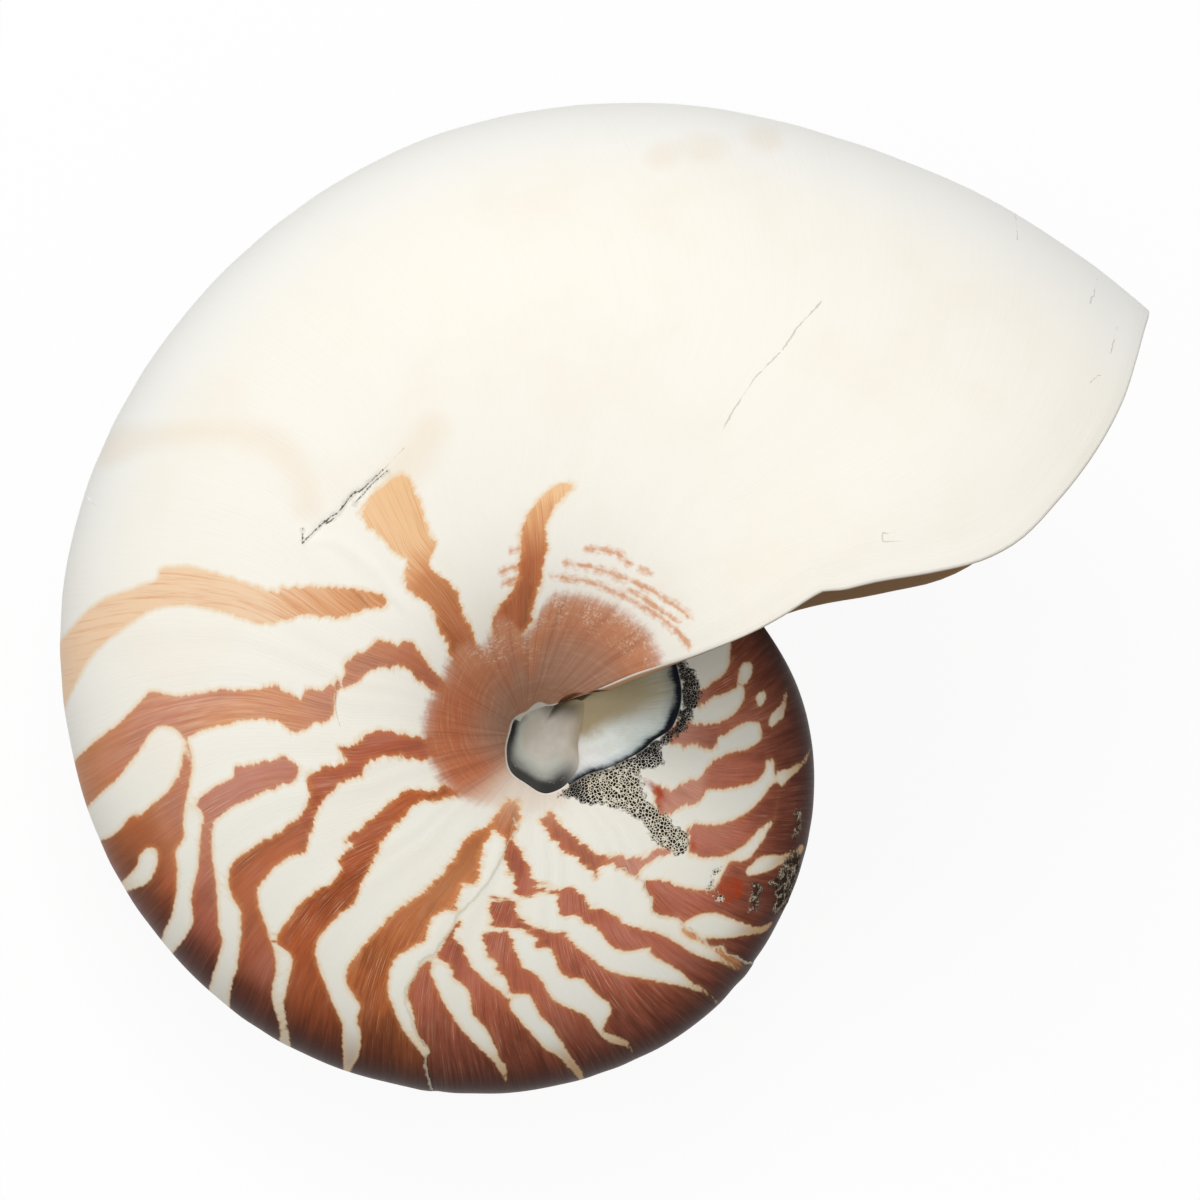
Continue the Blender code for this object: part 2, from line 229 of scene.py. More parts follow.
# Stripes, from the oldest to the youngest: how mauve, how faded at some shares, outline
STRIPES = (
    (1, ((0, .36), (.62, .3), (.7, .12)), (
        (-27, .87), (-18.5, .87), (-18.3, .83), (-16.7, .8), (-12.8, .77), (-11.3, .72), (-10.8, .68),
        (-10, .64), (-8, .6), (-14, .6), (-14, .64), (-15.3, .68), (-16.3, .72), (-17.7, .76), (-21, .8),
        (-24.8, .84))),
    (1, ((0, .4), (.5, .38), (.6, .25), (.7, .12)), (
        (-12.8, .81), (-2.8, .81), (-2.3, .76), (-1, .72), (.8, .68), (2.6, .64), (6.1, .62), (6, .57),
        (5.8, .54), (6, .5), (5, .46), (0, .46), (-4, .52), (-3, .55), (-1.9, .58), (-2.3, .64),
        (-3.3, .68), (-5, .72), (-7.5, .76))),
    (1, ((0, .2), (.45, .25), (.5, .38), (.58, .38), (.62, .1)), (
        (-2, .83), (7, .83), (7.6, .815), (11.3, .8), (14, .76), (15.7, .72), (17.3, .68), (18.5, .64),
        (19.5, .61), (24.5, .58), (28, .54), (33.5, .5), (34.5, .48), (33.8, .46), (31.5, .44), (25.8, .44),
        (24.5, .48), (20.5, .52), (17.5, .56), (11.3, .61), (8.7, .64), (7, .68), (5.8, .72), (4.5, .76),
        (2.3, .8))),
    (1, ((0, .3), (.7, .2), (.8, .06)), (
        (13.5, .87), (20.8, .86), (21.7, .84), (26.3, .8), (29, .78), (31.5, .76), (35, .72), (37.5, .68),
        (39, .64), (39.6, .62), (35.5, .6), (35.2, .58), (33.5, .58), (31, .6), (30.3, .62), (28.5, .66),
        (26, .7), (23, .74), (19.5, .78), (14.5, .82), (12.5, .845))),
    (.9, ((0, .38),), (
        (43.3, .57), (46.7, .54), (53.3, .525), (56.7, .53), (58.7, .505), (60.3, .48), (60, .435),
        (56.7, .45), (55.7, .47), (50, .51), (46.7, .52), (42.7, .55))),
    (.8, ((0, .2),), (
        (59.5, .468), (62, .45), (66, .44), (69.7, .455), (70, .43), (73.3, .405), (75, .375), (80, .345),
        (82, .315), (84.5, .31), (85, .285), (88.3, .27), (89.3, .25), (86, .24), (82, .235), (80, .25),
        (76.7, .285), (74, .31), (71, .34), (68, .36), (65, .4), (62, .425), (59.5, .44))),
    (-.3, ((0, .55),), (
        (54.2, .735), (53.3, .76), (52.3, .8), (52, .84), (51, .865), (50, .885), (50.3, .9), (49.6, .925),
        (49, .955), (48.5, 1), (49.6, .97), (50.9, .912), (51.7, .865), (52.9, .81), (55, .755))),
    (.9, ((0, .08),), (
        (54.5, 1.06), (57.3, .925), (58.7, .89), (60, .83), (61.3, .79), (63.8, .735), (63, .72),
        (67.7, .695), (71, .67), (72.7, .63), (74, .59), (76.7, .57), (78.7, .54), (82, .53), (84, .505),
        (83.5, .455), (78.7, .455), (76.7, .47), (75, .5), (74, .53), (71.3, .54), (69, .57), (66, .62),
        (62, .67), (60.3, .69), (57.7, .745), (56.7, .78), (55, .83), (53.3, .875), (51.7, .92),
        (49.5, 1.06))),
    (.8, ((0, .1),), (
        (83.8, .458), (90, .444), (95, .45), (98, .448), (99, .42), (100.3, .395), (102.7, .388),
        (104.3, .365), (106.8, .34), (105.3, .3), (101.7, .31), (97.7, .34), (93.7, .39), (90, .422),
        (84, .445))),
    (.85, ((0, .06),), (
        (59, 1.06), (72, 1.06), (73.7, .94), (76, .905), (78, .87), (75.7, .82), (78.3, .76), (80.3, .715),
        (85, .68), (87.3, .605), (91, .595), (91, .57), (95.7, .54), (103.7, .535), (104.3, .51),
        (106.2, .49), (105.7, .46), (98.7, .46), (97.5, .5), (92.3, .53), (87.7, .555), (83.3, .575),
        (80, .625), (76.7, .67), (74.7, .71), (69.3, .765), (65.3, .81), (62.7, .845), (60, .89),
        (57.3, .97))),
    (.8, ((0, .06), (.5, .1), (.6, .12), (.7, .05)), (
        (73, 1.06), (82.2, 1.06), (82.4, .98), (84, .93), (87.8, .82), (90, .785), (92.3, .725),
        (96.3, .715), (97.7, .67), (100.5, .65), (100.7, .62), (103.3, .61), (105.3, .565), (104, .55),
        (99.7, .54), (98.3, .555), (94, .64), (90, .68), (87.3, .742), (82.7, .795), (80.5, .82),
        (78.2, .9), (74.5, .96))),
    (.65, ((0, .05),), (
        (83, 1.06), (93.5, 1.06), (95.3, .93), (97, .89), (99.7, .82), (103.3, .77), (105.2, .71),
        (109.3, .68), (110, .66), (114.3, .635), (114.5, .6), (113, .53), (112.3, .54), (113, .57),
        (110.3, .59), (107, .63), (103.7, .665), (96.7, .725), (96, .755), (92.3, .815), (89.3, .875),
        (86, .93))),
    (.6, ((0, .05),), (
        (94.5, 1.06), (106.3, 1.06), (108.3, .94), (109.7, .91), (109, .885), (111.7, .85), (114.3, .79),
        (116.7, .75), (117.1, .7), (116.6, .66), (115, .65), (113.7, .685), (110.3, .735), (105.7, .8),
        (101, .86), (97, .925))),
    (-.5, ((0, .12), (.3, .2), (.45, .3), (.6, .2), (.75, .06)), (
        (107, 1.06), (108.5, .94), (110, .895), (112, .87), (114.6, .84), (118, .79), (120, .76), (122, .7),
        (122.3, .67), (121.3, .645), (118.3, .6), (119.7, .57), (119.3, .54), (117.7, .515), (114.3, .505),
        (116.7, .47), (115.7, .44), (112.3, .425), (113.3, .38), (115.3, .34), (115, .285), (109.7, .295),
        (105.7, .3), (103.7, .27), (101.7, .24), (106.7, .2), (114.7, .2), (116.7, .245), (120, .285),
        (122.3, .295), (124.2, .34), (123.3, .38), (124, .41), (126, .48), (126.7, .52), (128, .54),
        (128.8, .6), (129.3, .7), (128, .77), (123.3, .815), (122.3, .85), (120, .9), (119, .94),
        (117.5, 1.06))),
    (.1, ((0, .06),), (
        (119, 1.06), (123.3, .895), (125, .865), (130.7, .8), (135.3, .75), (137, .69), (137.2, .6),
        (139.7, .535), (141.7, .49), (144, .45), (146.7, .39), (148.7, .33), (148, .31), (143, .265),
        (141, .235), (148.5, .25), (151, .285), (155.3, .325), (154, .37), (151.3, .455), (150, .51),
        (148.7, .5), (147, .545), (145, .56), (143.7, .59), (144.2, .63), (144, .68), (142.3, .76),
        (141, .79), (137.4, .797), (135, .85), (133.2, .9), (129.8, .96), (128, 1), (126, 1.06))),
    (.45, ((0, .08), (.5, .12), (.58, .2), (.7, .2), (.8, .2), (.9, .06)), (
        (129, 1.06), (130, 1), (131.3, .96), (135.4, .9), (137.4, .85), (141, .803), (149, .75), (151, .72),
        (152.8, .655), (152.5, .6), (154.3, .57), (158.7, .53), (162.7, .485), (165, .43), (165, .4),
        (169.7, .36), (168.3, .3), (164.7, .23), (173.3, .22), (178, .285), (179.3, .325), (178, .365),
        (174.3, .4), (174.7, .422), (170.2, .42), (169.7, .48), (167.7, .51), (163.3, .52), (160, .565),
        (158.7, .61), (157.7, .68), (156.3, .75), (152.3, .79), (148.7, .8), (144.7, .85), (142, .9),
        (140.2, .95), (138.2, 1), (136.5, 1.06))),
    (.9, ((0, .25), (.55, .32), (.7, .32), (.8, .26), (.9, .1)), (
        (140.5, 1.06), (145.3, .9), (148.7, .86), (153.7, .81), (159, .775), (164.3, .73), (166.3, .65),
        (167.2, .6), (168, .545), (169.7, .52), (171.7, .52), (173.7, .55), (172.8, .61), (172.7, .645),
        (171, .66), (169.7, .71), (167.7, .755), (165.7, .75), (161.7, .785), (158.3, .815), (154.3, .87),
        (150.3, .92), (147, 1.06))),
    (.5, ((0, .15), (.72, .32), (.84, .3), (.92, .06)), (
        (150, 1.06), (158.5, 1.06), (158.7, .94), (161.7, .885), (163.2, .887), (162.7, .92), (161, .95),
        (159.5, 1.06), (165, 1.06), (166.3, .955), (168.2, .9), (167.7, .885), (169, .85), (170.3, .81),
        (173.3, .765), (178.3, .735), (174, .735), (169, .77), (165, .8), (163.2, .81), (161.3, .845),
        (158.3, .865), (154.7, .91), (152.5, .955))),
    (.6, ((0, .15), (.25, .22), (.33, .32), (.48, .4), (.62, .46), (.76, .42), (.9, .3)), (
        (169, 1.06), (171.7, .955), (173.8, .895), (177, .84), (180, .8), (180.3, .76), (178.5, .738),
        (179.7, .7), (181.7, .6), (182, .57), (181.3, .53), (179, .51), (180, .485), (183.3, .425),
        (190, .41), (194.3, .375), (199.3, .34), (203.3, .295), (202, .26), (198.7, .2), (203, .19),
        (210, .245), (213.7, .28), (212.3, .3), (210, .31), (209, .34), (204, .365), (198.7, .4), (195, .4),
        (190.3, .435), (189.7, .47), (187.3, .485), (189.2, .54), (187.3, .59), (187, .64), (185.2, .735),
        (185.5, .795), (184.3, .815), (181, .87), (178.3, .94), (173.5, 1.06))),
    (-.2, ((0, .3), (.25, .32), (.38, .42), (.5, .6), (.6, .85), (1, .95)), (
        (179, 1.06), (184.7, .975), (189.3, .925), (193.3, .86), (197.3, .795), (199.3, .73), (200.3, .65),
        (200.7, .57), (204, .52), (207.3, .46), (209.3, .425), (214.7, .385), (218.3, .36), (220, .37),
        (218.7, .395), (217, .425), (213.3, .475), (211, .51), (208.7, .55), (207, .56), (206, .63),
        (205, .72), (203, .79), (201.3, .795), (199, .84), (196, .91), (192, .97), (186, 1.06))),
    (-.4, ((0, .12), (.24, .2), (.33, .35), (.38, .75), (.5, .9)), (
        (229.3, .485), (231, .495), (236.3, .5), (242, .48), (240.8, .4), (239.7, .36), (235, .34),
        (238, .28), (237.3, .255), (234, .205), (231, .18), (217, .18), (219, .215), (222, .23),
        (225.7, .27), (228, .3), (225.3, .34), (229.3, .365), (231, .37))),
    (.1, ((0, .1), (.26, .14), (.31, .4), (.34, .55), (.37, 1)), (
        (244, .17), (246, .198), (250, .209), (255.8, .217), (259.3, .225), (261, .243), (262.7, .27),
        (264.5, .307), (267.1, .34), (270.5, .353), (274.6, .372), (278.6, .37), (276, .353), (273, .338),
        (271.8, .311), (271.3, .285), (271.7, .257), (270.3, .23), (267.5, .2), (264.3, .171), (260, .155),
        (252, .155))),
)

# Fan of pigment around the umbilicus: growth angle, share at its outer edge
FAN_EDGE = (
    (60, .17), (66, .215), (88, .225), (100, .235), (110, .22), (120, .225), (142, .25), (163, .25),
    (190, .232), (205, .212), (220, .21), (230, .2), (235, .178), (243, .185), (250, .195), (255, .18),
    (260, .155), (266, .165), (271, .188), (274.5, .203), (280, .205), (310, .198), (320, .19), (334, .17),
)

# Nacre on the flank of the whorl before, and the band of pores beyond it
BAND_INNER = (
    (-40, .66), (-25, .6), (-15, .56), (-10, .535), (-5, .505), (0, .47), (5, .41), (10, .375), (20, .305),
    (30, .255), (40, .215), (50, .195), (62, .185),
)
BAND_OUTER = (
    (-40, .7), (-27, .635), (-20, .65), (-15, .63), (-10, .605), (-5, .56), (0, .53), (5, .47), (8, .43),
    (16, .44), (20, .385), (25, .37), (31, .4), (33, .42), (34, .47), (35, .52), (35, .58), (36, .6),
    (42, .6), (43, .56), (44.5, .5), (42.5, .45), (43, .4), (45, .35), (50, .31), (55, .28), (60, .25),
    (65, .22), (75, .195),
)

# Lines where growth stopped and began again: the younger shell stands a little proud of the older
SCARS = (
    (
        (48.2, 1.06), (48.6, .95), (49.2, .923), (50, .897), (49.6, .878), (51.6, .849), (51.9, .83),
        (52, .805), (52.8, .768), (53.5, .735), (53.6, .712), (54.9, .692), (56.6, .672), (57.5, .652),
        (58.1, .634), (56.8, .616), (56.4, .597), (56.7, .574), (55.4, .553), (58.2, .506), (60, .474),
    ),
    (
        (105.8, 1.06), (106.8, .988), (108, .945), (109.1, .905), (108.7, .888), (110.2, .865),
        (112.2, .838), (114.3, .795), (116.4, .768), (117.2, .73), (116.5, .7), (117.2, .675),
        (116.6, .645), (115.2, .64), (114.7, .61), (114, .575), (113.6, .55), (113.7, .525), (112.2, .49),
        (110.2, .45), (108.5, .415), (107.3, .375), (106, .34), (105.6, .31), (103.6, .255),
    ),
)

# Crack in the flank, the other lines of its broken edge, fine lines in the flank, and dotted arcs:
# growth angle, share
CRACK = (
    (217.9, .5505), (221.3, .542), (225.3, .5315), (226.8, .5255), (231.1, .526), (233.2, .5187),
    (239, .5167),
)
CRACK_BRANCHES = (
    ((217.9, .5505), (219.9, .563)),
    ((223.6, .532), (225.2, .526)),
    ((229.9, .512), (232.5, .5115), (235.1, .5132), (239.1, .5104)),
)
HAIRLINES = (
    ((239, .5167), (243.9, .5225)),
    ((193.4, .4116), (185, .416), (174.4, .403)),
    ((303.3, .7205), (302.6, .667), (302.6, .633)),
    ((302.5, .6265), (301.4, .579), (301.2, .5245), (301.4, .4895)),
    ((332.9, .5107), (331.5, .488), (330.4, .4944), (331.4, .509)),
    ((321, .973), (321.8, .949), (322.2, .929)),
    ((325.1, .929), (326.7, .8895)),
    ((327.7, .858), (327.8, .84)),
    ((312.6, .993), (314.2, .95)),
)
DASHES = (
    ((279, .251), (292.2, .2458), (301.9, .2429), (322.9, .2391)),
    ((274.5, .2325), (281.5, .2265), (286.3, .2275), (308.4, .2175), (331.3, .2135)),
    ((302.9, .2298), (312.7, .2244), (321.6, .2243)),
    ((284.6, .2748), (292.9, .2761), (298.5, .2664)),
    ((301.8, .2642), (305.5, .2626)),
    ((256.4, .2604), (261.3, .2571)),
    ((255.8, .2394), (261.3, .2385)),
    ((260.5, .2854), (263.2, .2837)),
)
# Faint peach stains in the ivory of the young shell: lines and their half width in millimetres
STAINS = (
    (((213, .974), (219.5, .858), (225.3, .74), (226.9, .666), (225.9, .603), (223.8, .577)), 1.2),
    (((239.5, .49), (245.2, .502), (249.6, .522)), 2),
    (((290.5, .951), (291, .952)), 1.2),
    (((285.5, .91), (286.5, .912)), 1.6),
    (((282, .894), (282.5, .895)), 1.2),
)
RIDGE = ((218.6, .549), (222, .5), (223.6, .44), (223.6, .397), (221, .325), (216.2, .274), (209, .235))

# Rough growths near the venter, pale chips and a red blush: outlines
CRUSTS = (
    ((35.7, .836), (34.4, .881), (36.6, .895), (38.7, .91), (40.6, .892), (39.2, .873), (36.9, .861)),
    (
        (26.8, .937), (25, .955), (26.5, .985), (31.4, .985), (34.4, .999), (37, .986), (37.6, .963),
        (35.1, .948), (33.8, .9265), (35.1, .907), (33.1, .901), (30.8, .923), (28.6, .928),
    ),
    ((17.3, .9326), (17.3, .9467), (20.9, .953), (22.9, .951), (22.6, .943), (19.7, .937)),
)
CHIPS = (
    (38.9, .7114), (36, .735), (36.9, .751), (40, .735), (42, .7475), (42.7, .79), (44, .7625), (44, .73),
    (42.3, .7297), (40.3, .7174),
)
BLUSHES = (
    (
        (40, .746), (37.7, .767), (36, .814), (36.9, .836), (40.2, .84), (43.1, .807), (42.8, .766),
        (41.8, .751),
    ),
    (
        (25.5, .385), (25, .411), (26.1, .449), (29.9, .47), (32.9, .479), (34.4, .471), (32.5, .4475),
        (28.7, .424), (27.3, .3935),
    ),
    ((36.9, .594), (35.3, .604), (34.8, .616), (37.1, .629), (38.5, .616), (37.9, .6)),
)
PITS = ((303, .43), (291, .92), (285.5, .905), (276, .895), (271.5, .74), (245, .775), (318.3, .24))


# --------------------------------------------------------------------------------------------------
# Curves


def smoothstep(low, high, value):
    t = np.clip((value - low) / (high - low), 0.0, 1.0)
    return t * t * (3.0 - 2.0 * t)


def flowing(at, table):
    """A smooth curve through a table of (place, value) pairs, read at the given places."""
    x, y = np.array(table, float).T
    slopes = np.gradient(y, x)
    at = np.clip(at, x[0], x[-1])
    i = np.clip(np.searchsorted(x, at) - 1, 0, len(x) - 2)
    width = x[i + 1] - x[i]
    t = (at - x[i]) / width
    first = (1 + 2 * t) * (1 - t) ** 2 * y[i] + t * (1 - t) ** 2 * width * slopes[i]
    second = t * t * (3 - 2 * t) * y[i + 1] + t * t * (t - 1) * width * slopes[i + 1]
    return first + second


def rounded(points, closed=True, steps=5):
    """Catmull-Rom curve through the points of an outline or a line."""
    p = np.array(points, float)
    if closed:
        before, after, last = np.roll(p, 1, 0), np.roll(p, -1, 0), np.roll(p, -2, 0)
        starts = p
    else:
        padded = np.vstack([2 * p[0] - p[1], p, 2 * p[-1] - p[-2]])
        before, starts, after, last = padded[:-3], padded[1:-2], padded[2:-1], padded[3:]
    t = (np.arange(steps) / steps)[None, :, None]
    a, b, c, d = (q[:, None, :] for q in (before, starts, after, last))
    square, cube = 2 * a - 5 * b + 4 * c - d, 3 * b - a - 3 * c + d
    curve = 0.5 * (2 * b + (c - a) * t + square * t**2 + cube * t**3)
    curve = curve.reshape(-1, 2)
    return curve if closed else np.vstack([curve, p[-1]])


def around_axis(angle, radius):
    """X and Y at a growth angle and a distance from the coil axis."""
    direction = -np.radians(angle)
    return radius * np.cos(direction), radius * np.sin(direction)


def segment_distances(line, places, closed):
    """Distance from each place to a line, and whether the place is inside it (even-odd)."""
    starts = line if closed else line[:-1]
    ends = np.roll(line, -1, 0) if closed else line[1:]
    nearest = np.full(len(places), np.inf)
    inside = np.zeros(len(places), bool)
    x, y = places.T
    for (x0, y0), (x1, y1) in zip(starts, ends):
        dx, dy = x1 - x0, y1 - y0
        t = np.clip(((x - x0) * dx + (y - y0) * dy) / max(dx * dx + dy * dy, 1e-18), 0.0, 1.0)
        nearest = np.minimum(nearest, (x0 + t * dx - x) ** 2 + (y0 + t * dy - y) ** 2)
        if closed and y0 != y1:
            crosses = (y0 > y) != (y1 > y)
            inside ^= crosses & (x < x0 + (y - y0) * dx / dy)
    return np.sqrt(nearest), inside


class Flank:
    """Places on one flank, laid out flat on the median plane, to measure markings in millimetres."""

    REACH = 8.0  # millimetres beyond which distances aren't worked out

    def __init__(self, sizes, angle, share):
        self.sizes = sizes
        self.places = self.flat(angle, share)

    def flat(self, angle, share):
        return np.stack(around_axis(angle, share * venter_radius(angle, self.sizes) / MM), -1)

    def measured(self, points, rows, closed):
        """Which places are close to a line, how far from it they are, and whether it surrounds them."""
        line = self.flat(*rounded(points, closed).T)
        low, high = line.min(0) - self.REACH, line.max(0) + self.REACH
        close = rows & np.all((self.places > low) & (self.places < high), axis=1)
        distance, within = segment_distances(line, self.places[close], closed)
        return close, np.minimum(distance, self.REACH), within

    def inside(self, outline, rows):
        """Signed distance to an outline, positive inside it."""
        found = np.full(len(self.places), -self.REACH)
        close, distance, within = self.measured(outline, rows, True)
        found[close] = np.where(within, distance, -distance)
        return found

    def away(self, points, rows):
        """Distance to an open line."""
        found = np.full(len(self.places), self.REACH)
        close, distance, _ = self.measured(points, rows, False)
        found[close] = distance
        return found


# --------------------------------------------------------------------------------------------------
# Shape of the whorl


def venter_radius(angle, sizes):
    """Distance from the coil axis to the venter."""
    radius = sizes.venter_radius * sizes.expansion ** ((angle - VENTER_ANGLE) / 360.0)
    for centre, spread, share in SWELLINGS:
        radius = radius * (1.0 + share * np.exp(-(((angle - centre) / spread) ** 2)))
    return radius


def flank_height(angle, share, sizes):
    """Height of the flank above the median plane."""
    radius = venter_radius(angle, sizes)
    beyond = np.clip((share - KNEE) / (1.0 - KNEE), 0.0, 1.0) ** 2
    within = np.clip((KNEE - share) / UMBILICAL_REACH, 0.0, 1.0) ** UMBILICAL_POWER
    section = sizes.half_width * radius * np.sqrt(np.clip(1.0 - beyond - within, 0.0, 1.0))
    near_axis = 1.0 - smoothstep(*FUNNEL_SHARES, share)
    distance = share * radius
    funnel = (FUNNEL_DEPTH + FUNNEL_RISE * np.tanh(distance / FUNNEL_REACH)) * near_axis
    softness = FUNNEL_SOFTNESS * near_axis
    height = 0.5 * (section + funnel + np.sqrt((section - funnel) ** 2 + softness**2))
    hidden = 1.0 - smoothstep(CORE_END, EXPOSED_ANGLE - 6.0, angle)
    ceiling = CORE_HEIGHT + CORE_SLOPE * distance
    return height + (np.minimum(height, ceiling) - height) * hidden


def umbilical_rim(angle):
    """Distance of the flank's inner edge from the coil axis."""
    return flowing(angle, RIM) * MM


def sheared(angle, share, lip):
    """Growth angle of a row's point, turned by the line of the lip."""
    shear = smoothstep(SHEAR_START, LIP_ANGLE, angle)
    return angle + (flowing(share, lip) - LIP_ANGLE) * shear


def growth_rows(sizes):
    """Growth angles of the rows: close together where the shell is marked."""
    rate = math.log(sizes.expansion) / 360.0

    def even(first, last, count):
        """Rows at even distances along the growing whorl."""
        return np.log(np.linspace(*np.exp(rate * np.array([first, last])), count)) / rate

    hidden = np.linspace(FIRST_ANGLE, FINE_FROM, HIDDEN_ROWS)
    fine = even(FINE_FROM, MARKED_FROM, FINE_ROWS)
    marked = even(MARKED_FROM, YOUNG_FROM, MARKED_ROWS)
    young = np.linspace(YOUNG_FROM, LIP_ANGLE, YOUNG_ROWS)
    return np.concatenate([hidden[:-1], fine[:-1], marked[:-1], young])


def section_columns(inner, outer, extra):
    """Places of one flank's columns: from 0 to 1 up to the knee, and from 1 to 2 on to the venter."""
    beyond = np.linspace(0.0, math.pi / 2, outer)
    beyond = np.sort(np.concatenate([beyond, extra]))
    return np.concatenate([np.linspace(0.0, 1.0, inner)[:-1], 1.0 + np.sin(beyond)])


def flank_grid(rows, columns, lip, side, sizes):
    """Growth angle, share and position of every point of one flank."""
    angle = np.repeat(rows[:, None], len(columns), 1)
    rim = umbilical_rim(rows) / venter_radius(rows, sizes)
    for _ in range(12):
        turned = sheared(rows, rim, lip)
        rim = umbilical_rim(turned) / venter_radius(turned, sizes)
    inner = np.minimum(columns, 1.0)[None, :]
    outer = np.maximum(columns - 1.0, 0.0)[None, :]
    share = rim[:, None] + (KNEE - rim[:, None]) * inner + (1.0 - KNEE) * outer
    angle = sheared(angle, share, lip)
    x, y = around_axis(angle, share * venter_radius(angle, sizes))
    return angle, share, np.stack([x, y, side * flank_height(angle, share, sizes)], -1)


def grid_normals(points):
    """Outward unit normals of a grid: rows along the whorl, columns from the upper rim to the lower."""
    along = np.gradient(points, axis=0)
    across = np.gradient(points, axis=1)
    normals = np.cross(along, across)
    return normals / np.maximum(np.linalg.norm(normals, axis=-1, keepdims=True), 1e-12)


# --------------------------------------------------------------------------------------------------
# Markings and wear, one value for each point of the whorl


def far_warp(angle, share):
    """Where the far flank's markings are read from: as on the near flank at the venter, looser inside."""
    loose = 1.0 - smoothstep(0.35, 0.97, share)
    wander = 4.0 * np.sin(np.radians(angle * 2.1)) + 2.5 * np.sin(np.radians(angle * 5.3 + 40.0))
    shift = 0.02 * np.sin(np.radians(angle * 3.7 + 80.0))
    return angle + loose * wander, share + loose * shift


def join_weight(distance):
    """How much an outline's tint counts at a signed distance from it."""
    return np.exp(np.clip(distance, -8, 6) / JOIN)


def stripe_values(flank, rows, share):
    """Signed distance to the brown pigment, its fading and how mauve it is."""
    pigment = flank.inside(GROUND, rows)
    for window in WINDOWS:
        pigment = np.minimum(pigment, -flank.inside(window, rows))
    blend = join_weight(pigment)
    total, mauve, faded = blend.copy(), blend.copy(), 0.05 * blend
    for tint, fading, outline in STRIPES:
        distance = flank.inside(outline, rows)
        weight = join_weight(distance)
        places, amounts = np.array(fading, float).T
        total += weight
        mauve += weight * tint
        faded += weight * np.interp(share, places, amounts)
        pigment = np.maximum(pigment, distance)
    return pigment, mauve / total, faded / total


def outlines(flank, shapes, rows):
    return np.maximum.reduce([flank.inside(shape, rows) for shape in shapes])


def marking_values(angle, share, side, sizes):
    """All the markings of the whorl as named layers."""
    flat_angle, flat_share, flat_side = angle.ravel(), share.ravel(), side.ravel()
    warped_angle, warped_share = far_warp(flat_angle, flat_share)
    near = flat_side > 0
    read_angle = np.where(near, flat_angle, warped_angle)
    read_share = np.where(near, flat_share, warped_share)
    flank = Flank(sizes, read_angle, read_share)
    rows = flat_angle > EXPOSED_ANGLE - 12.0
    early = rows & (flat_angle < STRIPES_END)
    pigment, mauve, faded = stripe_values(flank, early, flat_share)
    reach = venter_radius(read_angle, sizes) / MM
    fan = (flowing(read_angle, FAN_EDGE) - read_share) * reach
    fan = np.where(read_angle > FAN_START, fan, fan - (FAN_START - read_angle) * 0.8)
    band = np.minimum(
        (read_share - flowing(read_angle, BAND_INNER)) * reach,
        flank.inside(BAND_INNER + tuple(reversed(BAND_OUTER)), rows & (flat_angle < OLDEST_END)),
    )
    nacre = (flowing(read_angle, BAND_INNER) - read_share) * reach
    nacre = np.where(read_angle < NACRE_END, nacre, NACRE_END - read_angle - 0.2)
    true_near = rows & near
    oldest = true_near & (flat_angle < OLDEST_END)
    scars = []
    for scar in SCARS:
        (outer_angle, outer_share), (inner_angle, inner_share) = scar[0], scar[-1]
        younger = ((inner_angle + SCAR_REACH, inner_share), (outer_angle + SCAR_REACH, outer_share))
        scars.append(flank.inside(scar + younger, early))
    swept = 0.6 + 0.4 * smoothstep(200.0, 300.0, flat_angle)
    rim = flat_share * venter_radius(flat_angle, sizes) / MM - umbilical_rim(flat_angle) / MM
    return {
        "growth": flat_angle - swept * (flowing(flat_share, NEAR_LIP) - LIP_ANGLE),
        "share": flat_share,
        "side": flat_side,
        "pigment": pigment,
        "mauve": mauve,
        "faded": faded,
        "fan": fan,
        "band": band,
        "nacre": nacre,
        "scar": np.maximum.reduce(scars),
        "scar_away": np.minimum.reduce([flank.away(scar, early) for scar in SCARS]),
        "crack": flank.away(CRACK, true_near),
        "crack_side": (flat_share - np.interp(flat_angle, *np.array(CRACK, float).T)) * reach,
        "stain": np.minimum.reduce([flank.away(line, true_near) - width for line, width in STAINS]),
        "crust": outlines(flank, CRUSTS, oldest),
        "chips": flank.inside(CHIPS, oldest),
        "blush": outlines(flank, BLUSHES, oldest),
        "rim": np.clip(rim, -Flank.REACH, Flank.REACH),
        "angle": flat_angle,
    }


